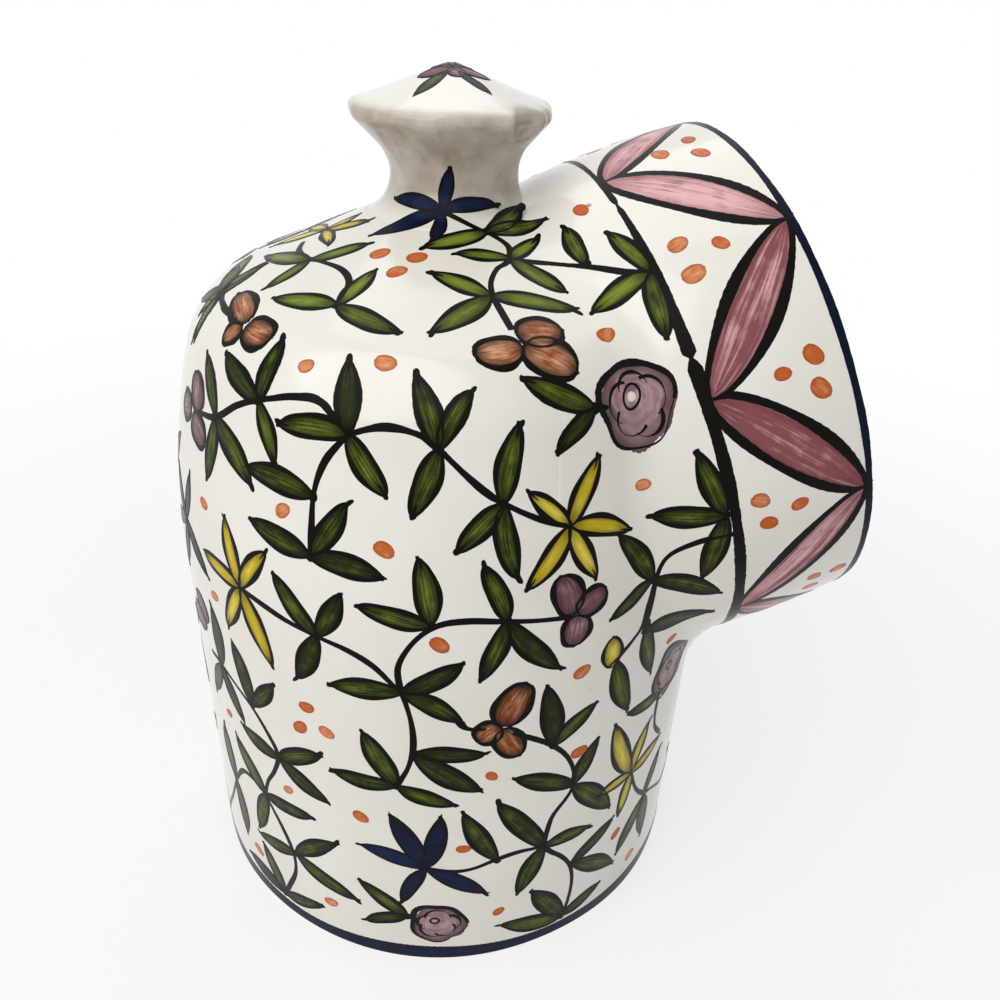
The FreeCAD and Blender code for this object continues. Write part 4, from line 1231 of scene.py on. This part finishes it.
def capSeat(p, lift):
    # Onto the cap's cone and round tip, straight up or down.
    radius = np.maximum(np.hypot(p[..., 0], p[..., 1]), 1e-6)
    cone = tipEnd[1] - (radius - tipEnd[0]) * math.tan(capTop)
    ball = pot["knobHeight"] - pot["tipRound"] + np.sqrt(np.maximum(pot["tipRound"] ** 2 - radius ** 2, 0))
    q = p.copy()
    q[..., 2] = np.where(radius < tipEnd[0], ball, cone) + lift + knobPaint["lift"]
    share = np.minimum(radius / tipEnd[0], 1) * math.sin(capTop)
    away = np.stack([share * p[..., 0] / radius, share * p[..., 1] / radius, np.sqrt(1 - share ** 2)], -1)
    return q, away


def paintKnob(values):
    # Leaves and petals on the true cap, then leaned and dented with it.
    for colour, rows in (("leafGreen", values["leaves"]), ("roseMauve", values["petals"])):
        ends = np.pad(np.array(rows), ((0, 0), (0, 0), (0, 1)))
        base, tip = [capSeat(ends[:, k], 0.0)[0] for k in (0, 1)]
        number = len(base)
        width, fullness = [np.full(number, value) for value in values[colour]]
        bend, tone = np.zeros(number), chance.uniform(*values["pale"], number)
        marks = blades(base, tip, width, fullness, bend, capSeat)
        lines = strokes(*bladeEdges(base, tip, width, fullness, bend, values["ink"], capSeat), capSeat)
        pots[colour].add(shapeKnob(marks[0], knob), *marks[1:], tone)
        pots["inkBlack"].add(shapeKnob(lines[0], knob), *lines[1:], np.concatenate([tone, tone]))


paintVine(vine)
paintStars(stars)
paintBerries(berries)
paintRoses(roses)
paintDots(dots)
paintCollar(collarPaint)
paintFoot(footBand)
paintKnob(knobPaint)
slotOf = {"leafGreen": "leaf_green", "inkBlack": "ink_black", "cobaltNavy": "cobalt_navy",
          "strawYellow": "straw_yellow", "roseMauve": "rose_mauve", "petalPink": "petal_pink",
          "berryBrown": "berry_brown", "dotOrange": "dot_orange"}
for colour, paintPot in pots.items():
    paintPot.finish(colour + "Paint", colour, slotOf[colour])
print("decoration painted")


# Camera, lamps and floor.
nearestSeen = 0.01
lampAim = (0, 0, 0.09)


def placeCamera(values):
    data = bpy.data.cameras.new("camera")
    data.sensor_width = values["sensor"]
    data.lens = values["lens"]
    data.clip_start = nearestSeen
    right, up, aim = cameraAxes(values)
    matrix = Matrix((right, up, -aim)).transposed().to_4x4()
    matrix.translation = Vector(values["stand"])
    eye = addObject("camera", data)
    eye.matrix_world = matrix
    bpy.context.scene.camera = eye


placeCamera(camera)

lamps = {
    "windowLamp": {"place": (-0.42, -0.36, 0.70), "size": 1.00, "power": 5.3, "colour": (1.0, 0.99, 0.97)},
    "frontLamp": {"place": (-0.15, -0.90, 0.55), "size": 1.10, "power": 0.6, "colour": (1.0, 0.985, 0.96)},
    "backLamp": {"place": (0.10, 0.25, 0.80), "size": 0.80, "power": 1.6, "colour": (0.98, 0.985, 1.0)},
}


def placeLamps(values):
    for name, lamp in values.items():
        data = bpy.data.lights.new(name, "AREA")
        data.shape = "DISK"
        data.size = lamp["size"]
        data.energy = lamp["power"]
        data.color = lamp["colour"]
        item = addObject(name, data)
        item.location = Vector(lamp["place"])
        item.rotation_euler = (Vector(lampAim) - item.location).to_track_quat("-Z", "Y").to_euler()


placeLamps(lamps)

surround = {"floorColour": (0.90, 0.90, 0.90, 1.0), "floorRoughness": 0.9, "shadowShare": 0.26,
            "shadowReach": (0.10, 0.45), "skyStrength": 0.22, "white": (1, 1, 1, 1), "size": 60.0}


def showsBackground(bench):
    # 1 for what the camera sees directly, in a gloss or through glass, which is the white background.
    path = bench.put("LightPath", None, {})
    direct = bench.calc("MAXIMUM", path["Is Camera Ray"], path["Is Glossy Ray"])
    return bench.calc("MAXIMUM", direct, path["Is Transmission Ray"])


def makeFloor(values):
    # A pale floor that the camera sees nearly white, with the pot's shadow kept.
    points = np.array([[-1, -1, 0], [1, -1, 0], [1, 1, 0], [-1, 1, 0]], float) * values["size"]
    mesh = bpy.data.meshes.new("floor")
    mesh.from_pydata(points.tolist(), [], [[0, 1, 2, 3]])
    material, bench, shader = newMaterial("floorPaper", values["floorRoughness"])
    shader["Base Color"].default_value = values["floorColour"]
    away = bench.put("VectorMath", "Value", {0: bench.place()}, operation="LENGTH")
    far = bench.calc("MULTIPLY", bench.ramp(away, *values["shadowReach"]), values["shadowShare"])
    glowShare = bench.calc("ADD", far, 1.0 - values["shadowShare"])
    seen = bench.calc("MULTIPLY", showsBackground(bench), glowShare)
    surface = bench.put("MixShader", 0, {0: seen, 1: bench.nodes["Principled BSDF"].outputs[0],
                                         2: bench.put("Emission", 0, {"Color": values["white"]})})
    bench.feed(bench.nodes["Material Output"].inputs["Surface"], surface)
    mesh.materials.append(material)
    floor = addObject("floor", mesh)


def makeSky(values):
    # Even light all round; the camera and the glaze's gloss see plain white.
    world = bpy.data.worlds.new("sky")
    world.use_nodes = True
    bench = NodeBench(world.node_tree)
    back = bench.nodes["Background"].inputs
    back["Color"].default_value = values["white"]
    extra = bench.calc("MULTIPLY", showsBackground(bench), 1.0 - values["skyStrength"])
    bench.feed(back["Strength"], bench.calc("ADD", extra, values["skyStrength"]))
    bpy.context.scene.world = world


makeFloor(surround)
makeSky(surround)
bpy.context.scene.view_settings.view_transform = "Standard"
print("stage set")
